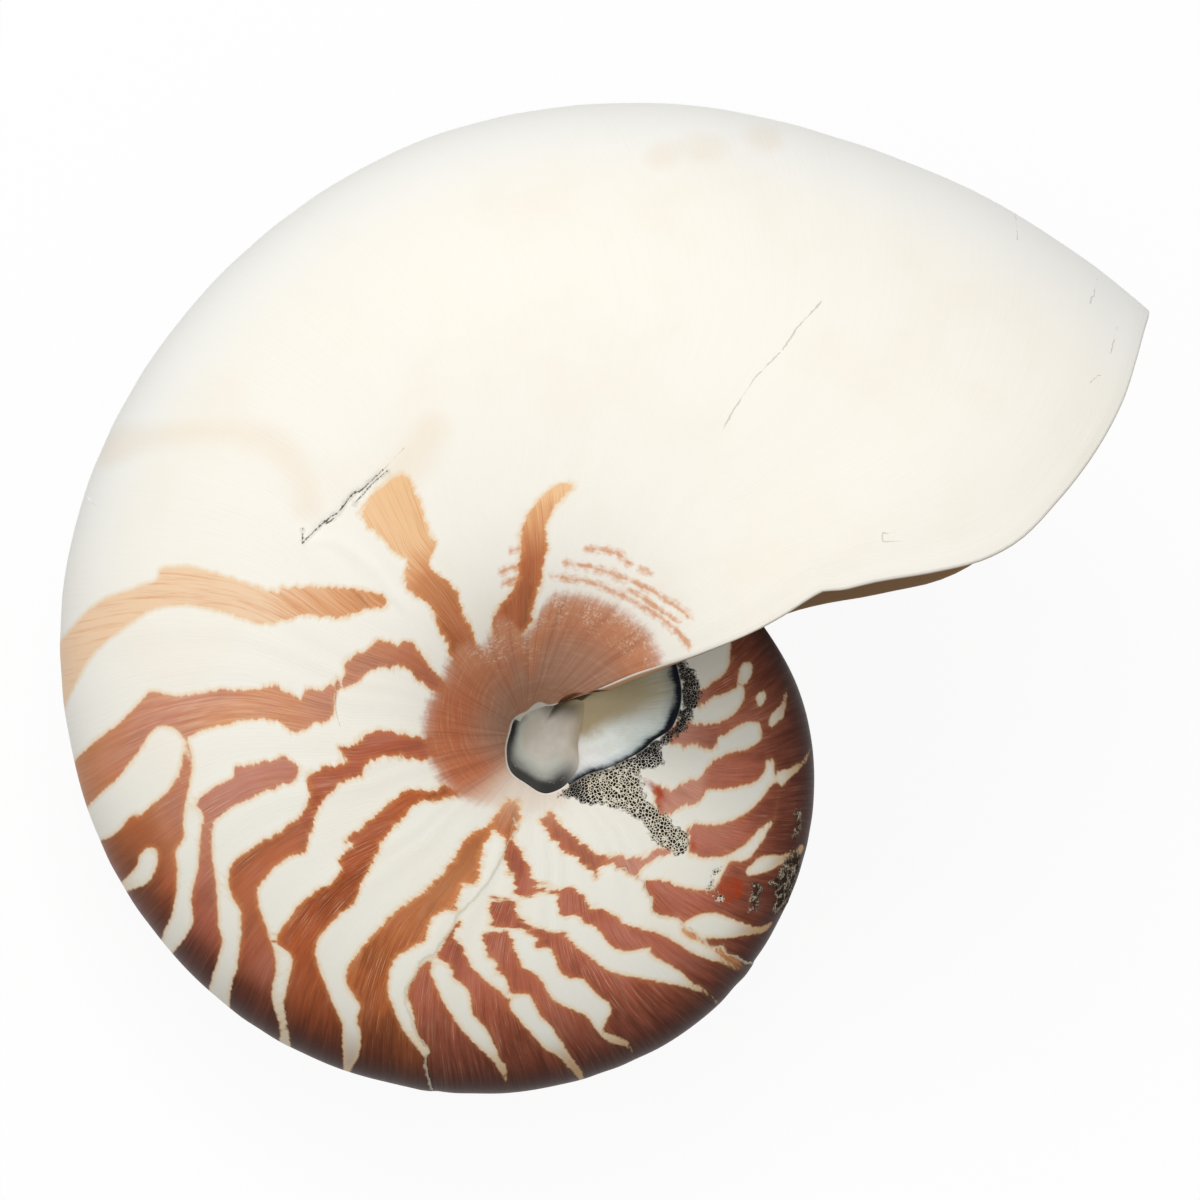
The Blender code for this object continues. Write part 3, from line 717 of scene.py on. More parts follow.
def relief(marks, angle, share, side, sizes):
    """How far each point stands out from the smooth whorl, in metres."""
    near = side > 0
    flat = Flank(sizes, angle, share)
    at_scar = 1.0 - smoothstep(0.9, 3.5, marks["scar_away"])
    height = SCAR_STEP * smoothstep(-0.2, 0.25, marks["scar"]) * at_scar
    along = smoothstep(217.0, 221.0, angle) * (1.0 - smoothstep(232.0, 241.0, angle))
    behind = marks["crack_side"]
    ledge = smoothstep(0.25, -0.25, behind) * np.exp(-np.clip(-behind, 0.0, 50.0) / LEDGE_REACH)
    trench = np.exp(-((marks["crack"] / TRENCH_WIDTH) ** 2))
    height -= np.where(near, along * (CRACK_LEDGE * ledge + CRACK_TRENCH * trench), 0.0)
    lumps = 0.6 + 0.4 * np.sin(np.radians(angle * 190.0)) * np.sin(share * 260.0)
    height += CRUST_HEIGHT * smoothstep(-0.4, 0.7, marks["crust"]) * lumps
    height -= CHIP_DEPTH * smoothstep(-0.2, 0.8, marks["chips"])
    for pit_angle, pit_share in PITS:
        centre = flat.flat(np.array([float(pit_angle)]), np.array([pit_share]))[0]
        distance = np.linalg.norm(flat.places - centre, axis=1)
        height -= np.where(near, PIT_DEPTH * np.exp(-((distance / PIT_RADIUS) ** 2)), 0.0)
    from_ridge = flat.away(RIDGE, near & (angle > 200.0))
    height += RIDGE_HEIGHT * np.exp(-((from_ridge / RIDGE_WIDTH) ** 2))
    ripple = np.sin(np.radians(marks["growth"] * 41.0) + 1.5 * np.sin(np.radians(marks["growth"] * 13.0)))
    height += RIPPLE_HEIGHT * ripple * smoothstep(0.15, 0.4, share) * smoothstep(-20, 60, angle)
    swell = np.sin(np.radians(marks["growth"] * 9.0 + 60.0 * np.sin(np.radians(marks["growth"] * 2.3))))
    height += SWELL_HEIGHT * swell * smoothstep(0.2, 0.5, share) * smoothstep(100, 200, angle)
    return height * MM


# --------------------------------------------------------------------------------------------------
# Meshes


def mesh_object(name, points, faces, layers, material):
    """A smooth mesh object with one float attribute for each layer."""
    mesh = bpy.data.meshes.new(name)
    mesh.from_pydata(points.tolist(), [], [tuple(int(i) for i in face) for face in faces])
    for layer, values in layers.items():
        attribute = mesh.attributes.new(layer, "FLOAT", "POINT")
        attribute.data.foreach_set("value", np.asarray(values, np.float32).ravel())
    mesh.materials.append(material)
    solid_mesh = bmesh.new()
    solid_mesh.from_mesh(mesh)
    bmesh.ops.recalc_face_normals(solid_mesh, faces=solid_mesh.faces)
    solid_mesh.to_mesh(mesh)
    solid_mesh.free()
    mesh.shade_smooth()
    piece = bpy.data.objects.new(name, mesh)
    bpy.context.scene.collection.objects.link(piece)
    return piece


def quads(index):
    """Faces between the rows and columns of a grid of vertex numbers."""
    corners = (index[:-1, :-1], index[:-1, 1:], index[1:, 1:], index[1:, :-1])
    return np.stack(corners, -1).reshape(-1, 4).tolist()


def fan_faces(ring, centre):
    ring = list(ring)
    return [(centre, a, b) for a, b in zip(ring, ring[1:] + ring[:1])]


def whorl_grids(rows, sizes):
    """The whole outside from the near rim over the venter to the far rim."""
    crack_columns = np.arcsin((np.linspace(*CRACK_SHARES, CRACK_COLUMNS) - KNEE) / (1.0 - KNEE))
    near_columns = section_columns(*NEAR_COLUMNS, crack_columns)
    far_columns = section_columns(*FAR_COLUMNS, [])[:-1]
    near = flank_grid(rows, near_columns, NEAR_LIP, 1.0, sizes)
    far = flank_grid(rows, far_columns, FAR_LIP, -1.0, sizes)
    angle, share, points = (np.concatenate([a, b[:, ::-1]], 1) for a, b in zip(near, far))
    side = np.ones_like(angle)
    side[:, len(near_columns):] = -1.0
    return angle, share, side, points


def lip_rows(outside, inside):
    """Half round between the last row outside and the first row inside."""
    forward = outside[-1] - outside[-2]
    forward /= np.linalg.norm(forward, axis=1, keepdims=True)
    middle, half = (outside[-1] + inside[0]) / 2, (outside[-1] - inside[0]) / 2
    thickness = np.linalg.norm(half, axis=1, keepdims=True)
    turns = np.radians(LIP_TURNS)
    return np.array([middle + half * math.cos(a) + forward * thickness * math.sin(a) for a in turns])


def hidden_faces(outer_index, lip_index, inner_index, kept, centres):
    """Strips from the outside's rims to the inside's, then across the solid part, and the two ends."""
    faces = []
    for k in range(len(kept) - 1):
        row = kept[k]
        for column in (0, -1):
            a, b, c = (outer_index[row - step, column] for step in (0, 1, 2))
            d, e = inner_index[k, column], inner_index[k + 1, column]
            faces += [(a, b, d), (b, c, e, d)]
    for column in (0, -1):
        faces.append([outer_index[-1, column], *lip_index[:, column], inner_index[0, column]])
    back_row = kept[-1]
    for older, younger in zip(outer_index[:back_row], outer_index[1:]):
        faces.append((older[0], younger[0], younger[-1], older[-1]))
    ring = list(inner_index[-1]) + [outer_index[back_row, -1], outer_index[back_row, 0]]
    faces += fan_faces(ring, centres[0])
    faces += fan_faces(outer_index[0], centres[1])
    return faces


def whorl_layers(marks, shape, kept, tail):
    """The markings for every point: as given outside, and carried on or far away in the rest."""
    ends = {"angle": [CHAMBER_END, FIRST_ANGLE], "share": [0.5, 0.5], "growth": [0.0, 0.0]}
    layers = {}
    for name, values in marks.items():
        if name in ("crack", "crack_side"):  # only the relief needs these
            continue
        if name in ends:
            grid = values.reshape(shape)
            rest = np.concatenate([np.tile(grid[-1], len(LIP_TURNS)), grid[kept].ravel(), ends[name]])
        else:
            rest = np.full(tail, Flank.REACH if name in ("rim", "scar_away", "stain") else -Flank.REACH)
        layers[name] = np.concatenate([values, rest])
    lip_inner = np.repeat(LIP_INNER, shape[1])
    lining = np.ones(tail - len(lip_inner))
    layers["inner"] = np.concatenate([np.zeros(shape[0] * shape[1]), lip_inner, lining])
    return layers


def build_whorl(sizes, material):
    """The whorl as one closed surface: outside, lip, inside of the body chamber, and its hidden ends."""
    rows = growth_rows(sizes)
    angle, share, side, points = whorl_grids(rows, sizes)
    marks = marking_values(angle, share, side, sizes)
    lift = relief(marks, angle.ravel(), share.ravel(), side.ravel(), sizes).reshape(angle.shape)
    normals = grid_normals(points)
    outside = points + normals * lift[..., None]

    # Inside of the body chamber: every second row, back to the last septum
    kept = np.arange(len(rows) - 1, np.searchsorted(rows, CHAMBER_END), -2)
    full = smoothstep(0.0, LIP_TAPER, LIP_ANGLE - rows[kept])
    wall = sizes.wall * (LIP_WALL + (1.0 - LIP_WALL) * full)
    inside = points[kept] - normals[kept] * wall[:, None, None]
    lip = lip_rows(outside, inside)

    columns = points.shape[1]
    outer_index = np.arange(outside.shape[0] * columns).reshape(-1, columns)
    lip_index = outer_index.size + np.arange(lip.shape[0] * columns).reshape(-1, columns)
    inner_index = lip_index.max() + 1 + np.arange(inside.shape[0] * columns).reshape(-1, columns)
    centres = (inner_index.max() + 1, inner_index.max() + 2)
    faces = quads(outer_index)
    faces += quads(np.vstack([outer_index[-1:], lip_index, inner_index]))
    faces += hidden_faces(outer_index, lip_index, inner_index, kept, centres)
    all_points = np.concatenate([
        outside.reshape(-1, 3), lip.reshape(-1, 3), inside.reshape(-1, 3),
        inside[-1].mean(0, keepdims=True), outside[0].mean(0, keepdims=True),
    ])
    layers = whorl_layers(marks, angle.shape, kept, len(all_points) - outer_index.size)
    return mesh_object("whorl", all_points, faces, layers, material)


def build_callus(name, side, sizes, material):
    """The nacre bowl that closes one umbilicus: a closed dish from the coil axis out to under the rim."""
    directions = np.linspace(CALLUS_START, CALLUS_START + 360.0, CALLUS_SPOKES + 1)[:-1]
    rings = np.linspace(0.0, 1.0, CALLUS_RINGS + 1)[1:]
    rim = umbilical_rim(directions)
    rim_share = rim / venter_radius(directions, sizes)
    rim_height = flank_height(directions, rim_share, sizes)
    spread = rim + CALLUS_OVERLAP
    distance = rings[:, None] * spread[None, :]
    part = distance / rim[None, :]
    sunk = CALLUS_SINK * smoothstep(150.0, 225.0, directions)
    sunk_before = CALLUS_SINK * smoothstep(-36.0, CALLUS_START, directions)
    rise = rim_height - (CALLUS_GAP + sunk + sunk_before) * MM - sizes.callus_height
    height = sizes.callus_height + rise[None, :] * np.minimum(part, 1.1) ** 2.4
    x, y = around_axis(directions, distance)
    from_dome = (x / MM - DOME_X) ** 2 + (y / MM - DOME_Y) ** 2
    height = height + DOME_HEIGHT * np.exp(-from_dome / DOME_SPREAD)
    top = np.stack([x, y, height], -1).reshape(-1, 3)
    bottom = np.stack([x[-1], y[-1], np.full_like(x[-1], CALLUS_FLOOR)], -1)
    centre_height = sizes.callus_height + DOME_HEIGHT * math.exp(-(DOME_X**2 + DOME_Y**2) / DOME_SPREAD)
    points = np.concatenate([top, bottom, [[0.0, 0.0, centre_height], [0.0, 0.0, CALLUS_FLOOR]]])
    points[:, 2] *= side
    index = np.arange((CALLUS_RINGS + 1) * CALLUS_SPOKES).reshape(-1, CALLUS_SPOKES)
    index = np.concatenate([index, index[:, :1]], 1)
    faces = quads(index)
    faces += fan_faces(index[0, :-1], len(points) - 2)
    faces += fan_faces(index[-1, :-1], len(points) - 1)
    depth = np.concatenate([part.ravel(), np.full(CALLUS_SPOKES, 1.1), [0.0, 0.0]])
    bearing = np.concatenate([np.tile(directions, CALLUS_RINGS + 1), [0.0, 0.0]])
    # Painted shadow of the lip over the plug's upper part, kept as a layer
    shadow = smoothstep(0.6, 4.0, points[:, 1] / MM) * smoothstep(-2.0, 2.5, points[:, 0] / MM)
    layers = {"depth": depth, "bearing": bearing, "shadow": shadow}
    return mesh_object(name, points, faces, layers, material)


def build_septum(sizes, material):
    """The last septum: a dish across the chamber, hollow towards the opening, with a dip where the
    siphuncle passes.
    """
    scale = venter_radius(SEPTUM_ANGLE, sizes)
    outwards = np.sin(np.linspace(0.0, math.pi / 2, SEPTUM_EDGE))
    share = SEPTUM_INNER + (SEPTUM_OUTER - SEPTUM_INNER) * outwards
    half = SEPTUM_FIT * flank_height(SEPTUM_ANGLE, share, sizes) / scale
    across = np.linspace(1.0, -1.0, SEPTUM_ENDS + 2)[1:-1]
    ends = np.ones(SEPTUM_ENDS)
    rim_share = np.concatenate([share, share[-1] * ends, share[::-1], share[0] * ends])
    rim_height = np.concatenate([half, half[-1] * across, -half[::-1], -half[0] * across])
    spokes = len(rim_share)
    reach = np.linspace(0.0, 1.0, SEPTUM_RINGS + 1)[1:, None]
    share = SEPTUM_MIDDLE + reach * (rim_share - SEPTUM_MIDDLE)
    height = reach * rim_height
    bowl = SEPTUM_BOWL * (1.0 - reach**2.2) + SIPHUNCLE_BOWL * np.exp(-((reach / SIPHUNCLE_RADIUS) ** 2))
    sheets = []
    for thickness in (0.0, SEPTUM_THICKNESS):
        sheet = np.stack([*around_axis(SEPTUM_ANGLE - bowl - thickness, share), height], -1)
        deepest = SEPTUM_ANGLE - SEPTUM_BOWL - SIPHUNCLE_BOWL - thickness
        centre = np.array([[*around_axis(deepest, SEPTUM_MIDDLE), 0.0]])
        sheets += [sheet.reshape(-1, 3) * scale, centre * scale]
    count = SEPTUM_RINGS * spokes
    front = np.arange(count).reshape(-1, spokes)
    back = front + count + 1
    front_loop, back_loop = (np.concatenate([grid, grid[:, :1]], 1) for grid in (front, back))
    faces = quads(front_loop) + quads(back_loop) + quads(np.stack([front_loop[-1], back_loop[-1]]))
    faces += fan_faces(front[0], count) + fan_faces(back[0], 2 * count + 1)
    layers = {"reach": np.tile(np.append(np.repeat(reach, spokes), 0.0), 2)}
    return mesh_object("septum", np.concatenate(sheets), faces, layers, material)


# --------------------------------------------------------------------------------------------------
# Materials


class Value:
    """A socket of a node. Arithmetic on it adds Math nodes."""

    def __init__(self, nodes, socket):
        self.nodes = nodes
        self.socket = socket

    def __add__(self, other):
        return self.nodes.math("ADD", self, other)

    __radd__ = __add__

    def __sub__(self, other):
        return self.nodes.math("SUBTRACT", self, other)

    def __rsub__(self, other):
        return self.nodes.math("SUBTRACT", other, self)

    def __mul__(self, other):
        return self.nodes.math("MULTIPLY", self, other)

    __rmul__ = __mul__

    def around(self, amount):
        """A noise of 0 to 1, moved to lie around zero."""
        return (self - 0.5) * amount


class Nodes:
    """The nodes of one material."""

    def __init__(self, name):
        self.material = bpy.data.materials.new(name)
        self.material.use_nodes = True
        self.tree = self.material.node_tree
        self.tree.nodes.clear()

    def add(self, kind, settings=None, inputs=None, output=0):
        """A node of a kind with its settings and its sockets' values or links; gives back one output."""
        node = self.tree.nodes.new(kind)
        for name, setting in (settings or {}).items():
            setattr(node, name, setting)
        for key, value in (inputs or {}).items():
            if isinstance(value, Value):
                self.tree.links.new(value.socket, node.inputs[key])
            else:
                node.inputs[key].default_value = value
        return Value(self, node.outputs[output])

    def math(self, operation, *operands):
        return self.add("ShaderNodeMath", {"operation": operation}, dict(enumerate(operands)))

    def vector_math(self, operation, *operands, output=0):
        return self.add("ShaderNodeVectorMath", {"operation": operation}, dict(enumerate(operands)), output)

    def line(self, place, points, sizes):
        """Distance in millimetres from a place (growth angle, share) to a line through such places."""
        nearest = Flank.REACH
        for (first_angle, first_share), (last_angle, last_share) in zip(points, points[1:]):
            radius = venter_radius((first_angle + last_angle) / 2, sizes) / MM
            degree = math.radians(radius * (first_share + last_share) / 2)
            minus_start = (-first_angle * degree, -first_share * radius, 0.0)
            turned, moved = (last_angle - first_angle) * degree, (last_share - first_share) * radius
            along = np.array([turned, moved, 0.0])
            inverse = tuple(along / (along @ along))
            offset = self.vector_math("MULTIPLY_ADD", place, (degree, radius, 1.0), minus_start)
            reached = self.vector_math("DOT_PRODUCT", offset, inverse, output="Value")
            inputs = {0: tuple(along), "Scale": self.clamp(reached)}
            foot = self.add("ShaderNodeVectorMath", {"operation": "SCALE"}, inputs)
            distance = self.vector_math("DISTANCE", offset, foot, output="Value")
            nearest = self.math("MINIMUM", nearest, distance)
        return nearest

    def lines(self, place, group, sizes):
        """Distance in millimetres to the nearest of several lines."""
        nearest = Flank.REACH
        for points in group:
            nearest = self.math("MINIMUM", nearest, self.line(place, points, sizes))
        return nearest

    def layer(self, name):
        return self.add("ShaderNodeAttribute", {"attribute_name": name}, output="Fac")

    def vector(self, x, y, z):
        return self.add("ShaderNodeCombineXYZ", inputs={0: x, 1: y, 2: z})

    def noise(self, vector, scale, detail=2.0, roughness=0.5):
        inputs = {"Vector": vector, "Scale": scale, "Detail": detail, "Roughness": roughness}
        return self.add("ShaderNodeTexNoise", inputs=inputs)

    def step(self, low, high, value):
        """A smooth step. It stays between 0 and 1 without the clamp, which would cost the renderer room."""
        settings = {"interpolation_type": "SMOOTHSTEP", "clamp": False}
        return self.add("ShaderNodeMapRange", settings, {"Value": value, "From Min": low, "From Max": high})

    def below(self, low, high, value):
        return 1.0 - self.step(low, high, value)

    def bump(self, strength, distance, height):
        inputs = {"Strength": strength, "Distance": distance, "Height": height}
        return self.add("ShaderNodeBump", inputs=inputs)

    def clamp(self, value):
        return self.add("ShaderNodeClamp", inputs={0: value})

    def mix(self, factor, first, second):
        """Two colours mixed. Each is a socket or red, green and blue."""
        first, second = (item if isinstance(item, Value) else (*item, 1.0) for item in (first, second))
        settings = {"data_type": "RGBA"}
        return self.add("ShaderNodeMix", settings, {0: factor, 6: first, 7: second}, output=2)

    def finish(self, inputs):
        """Ends the material in a Principled shader with these values or links."""
        surface = self.add("ShaderNodeBsdfPrincipled", inputs=inputs)
        self.add_output(surface)
        return self.material

    def add_output(self, surface):
        out = self.tree.nodes.new("ShaderNodeOutputMaterial")
        self.tree.links.new(surface.socket, out.inputs["Surface"])


def colour(red, green, blue):
    """A display colour of 0 to 255 as the linear colour that sockets take."""
    channels = [c / 255.0 for c in (red, green, blue)]
    return tuple(c / 12.92 if c <= 0.04045 else ((c + 0.055) / 1.055) ** 2.4 for c in channels)


def whorl_fields(n):
    """Growth coordinates, distances to the markings and noises that the whorl's surfaces share."""
    f = SimpleNamespace()
    for name in ("growth", "share", "side", "angle", "pigment", "fan", "band", "nacre"):
        setattr(f, name, n.layer(name))
    f.here = n.add("ShaderNodeTexCoord", output="Object")
    f.fine_line = n.noise(n.vector(f.growth * 2.6, f.share * 6.0, f.side * 5.0), 1.0, 4.0, 0.65)
    f.line = n.noise(n.vector(f.growth * 0.9, f.share * 7.0, f.side * 3.0), 1.0, 3.0, 0.6)
    f.brush = n.noise(n.vector(f.angle * 0.22, f.share * 95.0, f.side * 7.0), 1.0, 3.0, 0.7)
    f.sweep = n.noise(n.vector(f.angle * 0.05, f.share * 160.0, f.side * 7.0), 1.0, 3.0, 0.6)
    f.speck = n.noise(f.here, 900.0, 2.0, 0.6)
    f.grain = n.noise(f.here, 2400.0, 2.0, 0.6)
    f.mottle = n.noise(f.here, 330.0, 3.0, 0.6)
    f.patch = n.step(0.4, 0.62, n.noise(f.here, 110.0, 2.0, 0.5))
    f.wash = n.noise(n.vector(f.growth * 0.12, f.share * 4.0, f.side * 3.0), 1.0, 3.0, 0.5)
    f.cloud = n.noise(f.here, 70.0, 3.0, 0.5)
    f.inner_zone = n.below(0.5, 0.78, f.share)
    return f


def ivory_ground(n, f, colours):
    """The shell's pale ground: yellower where it is older, clouded, with faint peach stains, darker and
    browner towards the oldest venter, and lighter and cooler at the younger venter, where light is painted.
    """
    old = n.below(95.0, 225.0, f.angle)
    ground = n.mix(old, colours.ivory, colours.old_ivory)
    ground = n.mix(n.step(0.45, 0.75, f.cloud) * 0.3, ground, colours.warm_ivory)
    ground = n.mix(n.step(0.35, 0.8, f.fine_line) * 0.10, ground, colours.warm_ivory)
    # Darker and browner towards the oldest venter
    browner_venter = n.step(0.82, 0.98, f.share) * n.below(90.0, 150.0, f.angle)
    ground = n.mix(browner_venter * 0.75, ground, colours.browner_venter_ivory)
    f.closing = n.step(0.86, 0.98, f.share) * n.below(95.0, 150.0, f.angle)
    ground = n.mix(f.closing * 0.65, ground, colours.umber)
    # Painted light: a lighter, cooler ground at the younger venter
    edge_light = n.step(0.82, 0.97, f.share) * n.step(150.0, 230.0, f.angle) * 0.8
    ground = n.mix(edge_light, ground, colours.edge_light_ivory)
    stain = n.below(-1.2, 2.4, n.layer("stain") + f.cloud.around(4.0))
    ground = n.mix(stain * 0.2, ground, colours.peach)
    return ground


def brown_pigment(n, f, colours, ground):
    """The stripes: ragged edges, growth lines, darker at the venter, partly with painted shade, and faded
    inwards.
    """
    teeth = n.noise(n.vector(f.angle * 0.1, f.share * 38.0, f.side * 5.0), 1.0, 2.0, 0.5)
    ragged = (f.brush - 0.5) * (f.inner_zone * 0.9 + 0.35) + (teeth - 0.5) * (f.inner_zone * 1.4 + 0.3)
    edge = f.pigment + ragged + f.speck.around(0.5) + f.closing * 0.35
    fading = n.clamp((n.layer("faded") - 0.11) * 1.15 + n.step(220.0, 250.0, f.angle) * 0.1)
    scratch = n.noise(n.vector(f.growth * 5.0, f.share * 9.0, f.side * 5.0), 1.0, 3.0, 0.75)
    streak = n.step(0.32, 0.66, f.fine_line * 0.6 + f.line * 0.4)
    mauve = n.layer("mauve") + f.cloud.around(1.2)

    # Tint, growth lines and washes
    brown = n.mix(n.step(0.0, 1.0, mauve), colours.rust, colours.mauve)
    brown = n.mix(n.step(0.0, -1.0, mauve), brown, colours.orange)
    brown = n.mix(streak * (0.4 + f.patch * 0.3), brown, colours.umber)
    brown = n.mix(n.step(0.5, 0.66, f.wash) * 0.15, brown, colours.dusty_pink)
    brown = n.mix(n.below(0.36, 0.52, f.wash) * 0.3, brown, colours.dark_brown_and_shade)
    brown = n.mix(n.below(0.1, 0.9, edge) * (0.65 - mauve * 0.3), brown, colours.orange)

    # Dark at the venter: partly the pigment's own, partly painted shade. Also painted shade under the lip
    # and where the oldest venter turns away
    venter = n.step(0.71, 0.98, f.share + f.line.around(0.15))
    old_venter = venter * n.below(112.0, 160.0, f.angle - n.step(0.86, 0.96, f.share) * 32.0)
    brown = n.mix(old_venter * (0.8 + streak * 0.15), brown, colours.dark_brown_and_shade)
    brown = n.mix(venter * n.step(150.0, 178.0, f.angle) * 0.55, brown, colours.orange)
    # Painted shade under the lip
    brown = n.mix(n.below(-25.0, 15.0, f.angle) * 0.2, brown, colours.dark_brown_and_shade)
    # Painted shade where the oldest venter turns away
    margin = n.step(0.9, 1.0, f.share) * n.below(120.0, 190.0, f.angle)
    brown = n.mix(margin * 0.85, brown, colours.venter_edge_shade)

    # Fading and scratches
    worn = n.below(0.16, 0.3, f.share) * n.step(50.0, 70.0, f.angle) * n.below(115.0, 135.0, f.angle)
    brown = n.mix(worn * 0.5, brown, colours.bleached)
    bleach = n.clamp(fading * (0.6 + streak * 0.8))
    fading_colour = n.mix(n.step(0.3, 0.9, mauve), colours.apricot, colours.dusty_pink)
    brown = n.mix(n.step(0.0, 0.6, bleach), brown, fading_colour)
    faded_colour = n.mix(n.step(212.0, 240.0, f.angle), colours.bleached, colours.golden)
    brown = n.mix(n.step(0.35, 1.0, bleach), brown, faded_colour)
    light_scratch = n.step(0.53, 0.68, scratch) * (0.12 + f.patch * 0.3) * (1.0 - venter * 0.88)
    brown = n.mix(light_scratch, brown, colours.bleached)
    dark_scratch = n.below(0.30, 0.45, scratch) * (0.2 + f.patch * 0.3) * (1.0 - bleach * 0.85)
    brown = n.mix(dark_scratch * (1.0 - venter * 0.8), brown, colours.dark_brown_and_shade)

    halo = n.step(-0.8, 0.1, edge) * 0.55
    surface = n.mix(halo, ground, colours.amber)
    surface = n.mix(n.step(-0.15, 0.25, edge) * (1.0 - fading * 0.15), surface, brown)
    return surface


def umbilical_fan(n, f, colours, sizes, surface):
    """Pigment around the umbilicus and the dotted arcs beyond it."""
    f.ray = n.noise(n.vector(f.growth * 0.34, f.share * 3.0, f.side * 4.0), 1.0, 3.0, 0.7)
    fan_edge = f.fan + f.brush.around(1.4) + f.ray.around(1.6)
    young = n.step(110.0, 148.0, f.angle)
    fan_strength = 0.12 + young * 0.68 + n.step(-0.5, 2.5, f.fan) * (0.12 + young * 0.08)
    fan_cover = n.step(-0.9, 1.0, fan_edge) * fan_strength
    fan_depth = f.fan - n.below(215.0, 250.0, f.angle) * 1.8
    fan_colour = n.mix(n.step(2.5, 9.0, fan_depth), colours.fan_rust, colours.fan_grey)
    above = n.step(190.0, 235.0, f.angle) * (0.85 - n.step(2.0, 7.0, f.fan) * 0.6)
    fan_colour = n.mix(above, fan_colour, colours.fan_pale)
    fan_colour = n.mix((1.0 - young) * 0.75, fan_colour, colours.peach)
    fan_colour = n.mix(n.step(0.45, 0.75, f.sweep) * 0.2, fan_colour, colours.peach)
    fan_colour = n.mix(n.step(0.42, 0.7, f.ray) * 0.35, fan_colour, colours.umber)
    fan_colour = n.mix(n.step(0.52, 0.72, f.fine_line) * 0.35, fan_colour, colours.peach)
    frosted = n.step(215.0, 235.0, f.angle) * n.below(2.0, 6.5, f.fan) * n.step(0.4, 0.62, f.mottle)
    frost = n.step(0.48, 0.62, f.grain) * frosted
    fan_colour = n.mix(frost * 0.45, fan_colour, colours.warm_ivory)
    surface = n.mix(fan_cover, surface, fan_colour)

    # Dotted arcs, and the clean rim
    f.on_near = n.step(0.0, 1.0, f.side)
    f.place = n.vector(f.angle + f.speck.around(0.5), f.share + f.brush.around(0.003), 0.0)
    dashes = n.lines(f.place, DASHES, sizes) + f.sweep.around(0.8) + f.speck.around(1.8)
    surface = n.mix(n.below(0.0, 0.9, dashes) * f.on_near * 0.55, surface, colours.apricot)
    surface = n.mix(n.below(-0.2, 0.4, dashes) * f.on_near * 0.52, surface, colours.orange)
    rim = n.layer("rim")
    surface = n.mix(n.below(0.1, 0.4, rim) * n.step(60.0, 66.0, f.angle), surface, colours.ivory)
    return surface


def nacre_and_pores(n, f, colours, surface):
    """Nacre on the whorl before, with its painted sheen and the lip's painted shadow, its dark edge and the
    band of pores.
    """
    # Painted green and blue sheen of the nacre
    pearl = n.mix(n.step(0.35, 0.65, f.cloud), colours.nacre_green_sheen, colours.nacre_blue_sheen)
    pearl = n.mix(n.step(12.0, 30.0, f.angle), pearl, colours.pearl_white)
    pearl = n.mix(n.step(0.5, 0.75, f.ray) * 0.5, pearl, colours.pearl_white)
    pearl = n.mix(n.step(0.5, 0.68, f.mottle) * 0.15, pearl, colours.olive_tint_and_shadow)
    # Painted shadow of the lip over the nacre
    unshaded_angle = n.step(-20.0, 2.0, f.angle)
    unshaded_share = n.step(0.12, 0.3, f.share + f.angle * 0.008 + f.mottle.around(0.2))
    pearl = n.mix(1.0 - unshaded_angle * unshaded_share, pearl, colours.olive_tint_and_shadow)
    sheltered = n.below(-4.0, 22.0, f.angle)
    edge_depth = f.nacre - sheltered * 0.6 + f.fine_line.around(1.0) + f.mottle.around(1.8)
    # Painted teal sheen near the dark edge
    iridescence = n.step(0.35, 0.65, f.line) * n.below(2.0, 6.0, edge_depth)
    pearl = n.mix(iridescence * 0.35, pearl, colours.nacre_teal_sheen)
    at_corner = n.below(-16.0, -8.0, f.angle) * n.below(0.2, 0.3, f.share)
    pearl = n.mix(n.below(0.6, 2.6, edge_depth) * (1.0 - at_corner) * 0.4, pearl, colours.slate)
    pearl = n.mix(n.below(0.0, 1.2, edge_depth) * (1.0 - at_corner), pearl, colours.blue_black)
    f.pearl_cover = n.step(-0.2, 0.1, f.nacre)
    surface = n.mix(f.pearl_cover, surface, pearl)

    # Pores
    settings, inputs = {"feature": "DISTANCE_TO_EDGE"}, {"Vector": f.here, "Scale": PORE_SCALE}
    f.cells = n.add("ShaderNodeTexVoronoi", settings, inputs, output="Distance")
    tail = n.step(8.0, 32.0, f.angle) * n.below(46.0, 60.0, f.angle)
    away_from_nacre = n.below(-5.0, -0.6, f.nacre)
    walls = -0.01 + away_from_nacre * 0.01 + tail * 0.08 + f.speck.around(0.08)
    pores = n.step(0.0, 0.05, f.cells - walls)
    wall_colour = n.mix(n.step(0.2, 0.8, tail), colours.ivory, colours.pore_cream)
    porous = n.mix(pores, wall_colour, colours.pore_black_and_shade)
    porous = n.mix(n.step(-1.7, -0.1, f.nacre) * 0.7, porous, colours.pore_black_and_shade)
    f.band_cover = n.step(-0.15, 0.35, f.band + f.speck.around(2.6)) * (1.0 - f.pearl_cover)
    surface = n.mix(f.band_cover * (0.75 + pores * 0.25), surface, porous)
    return surface


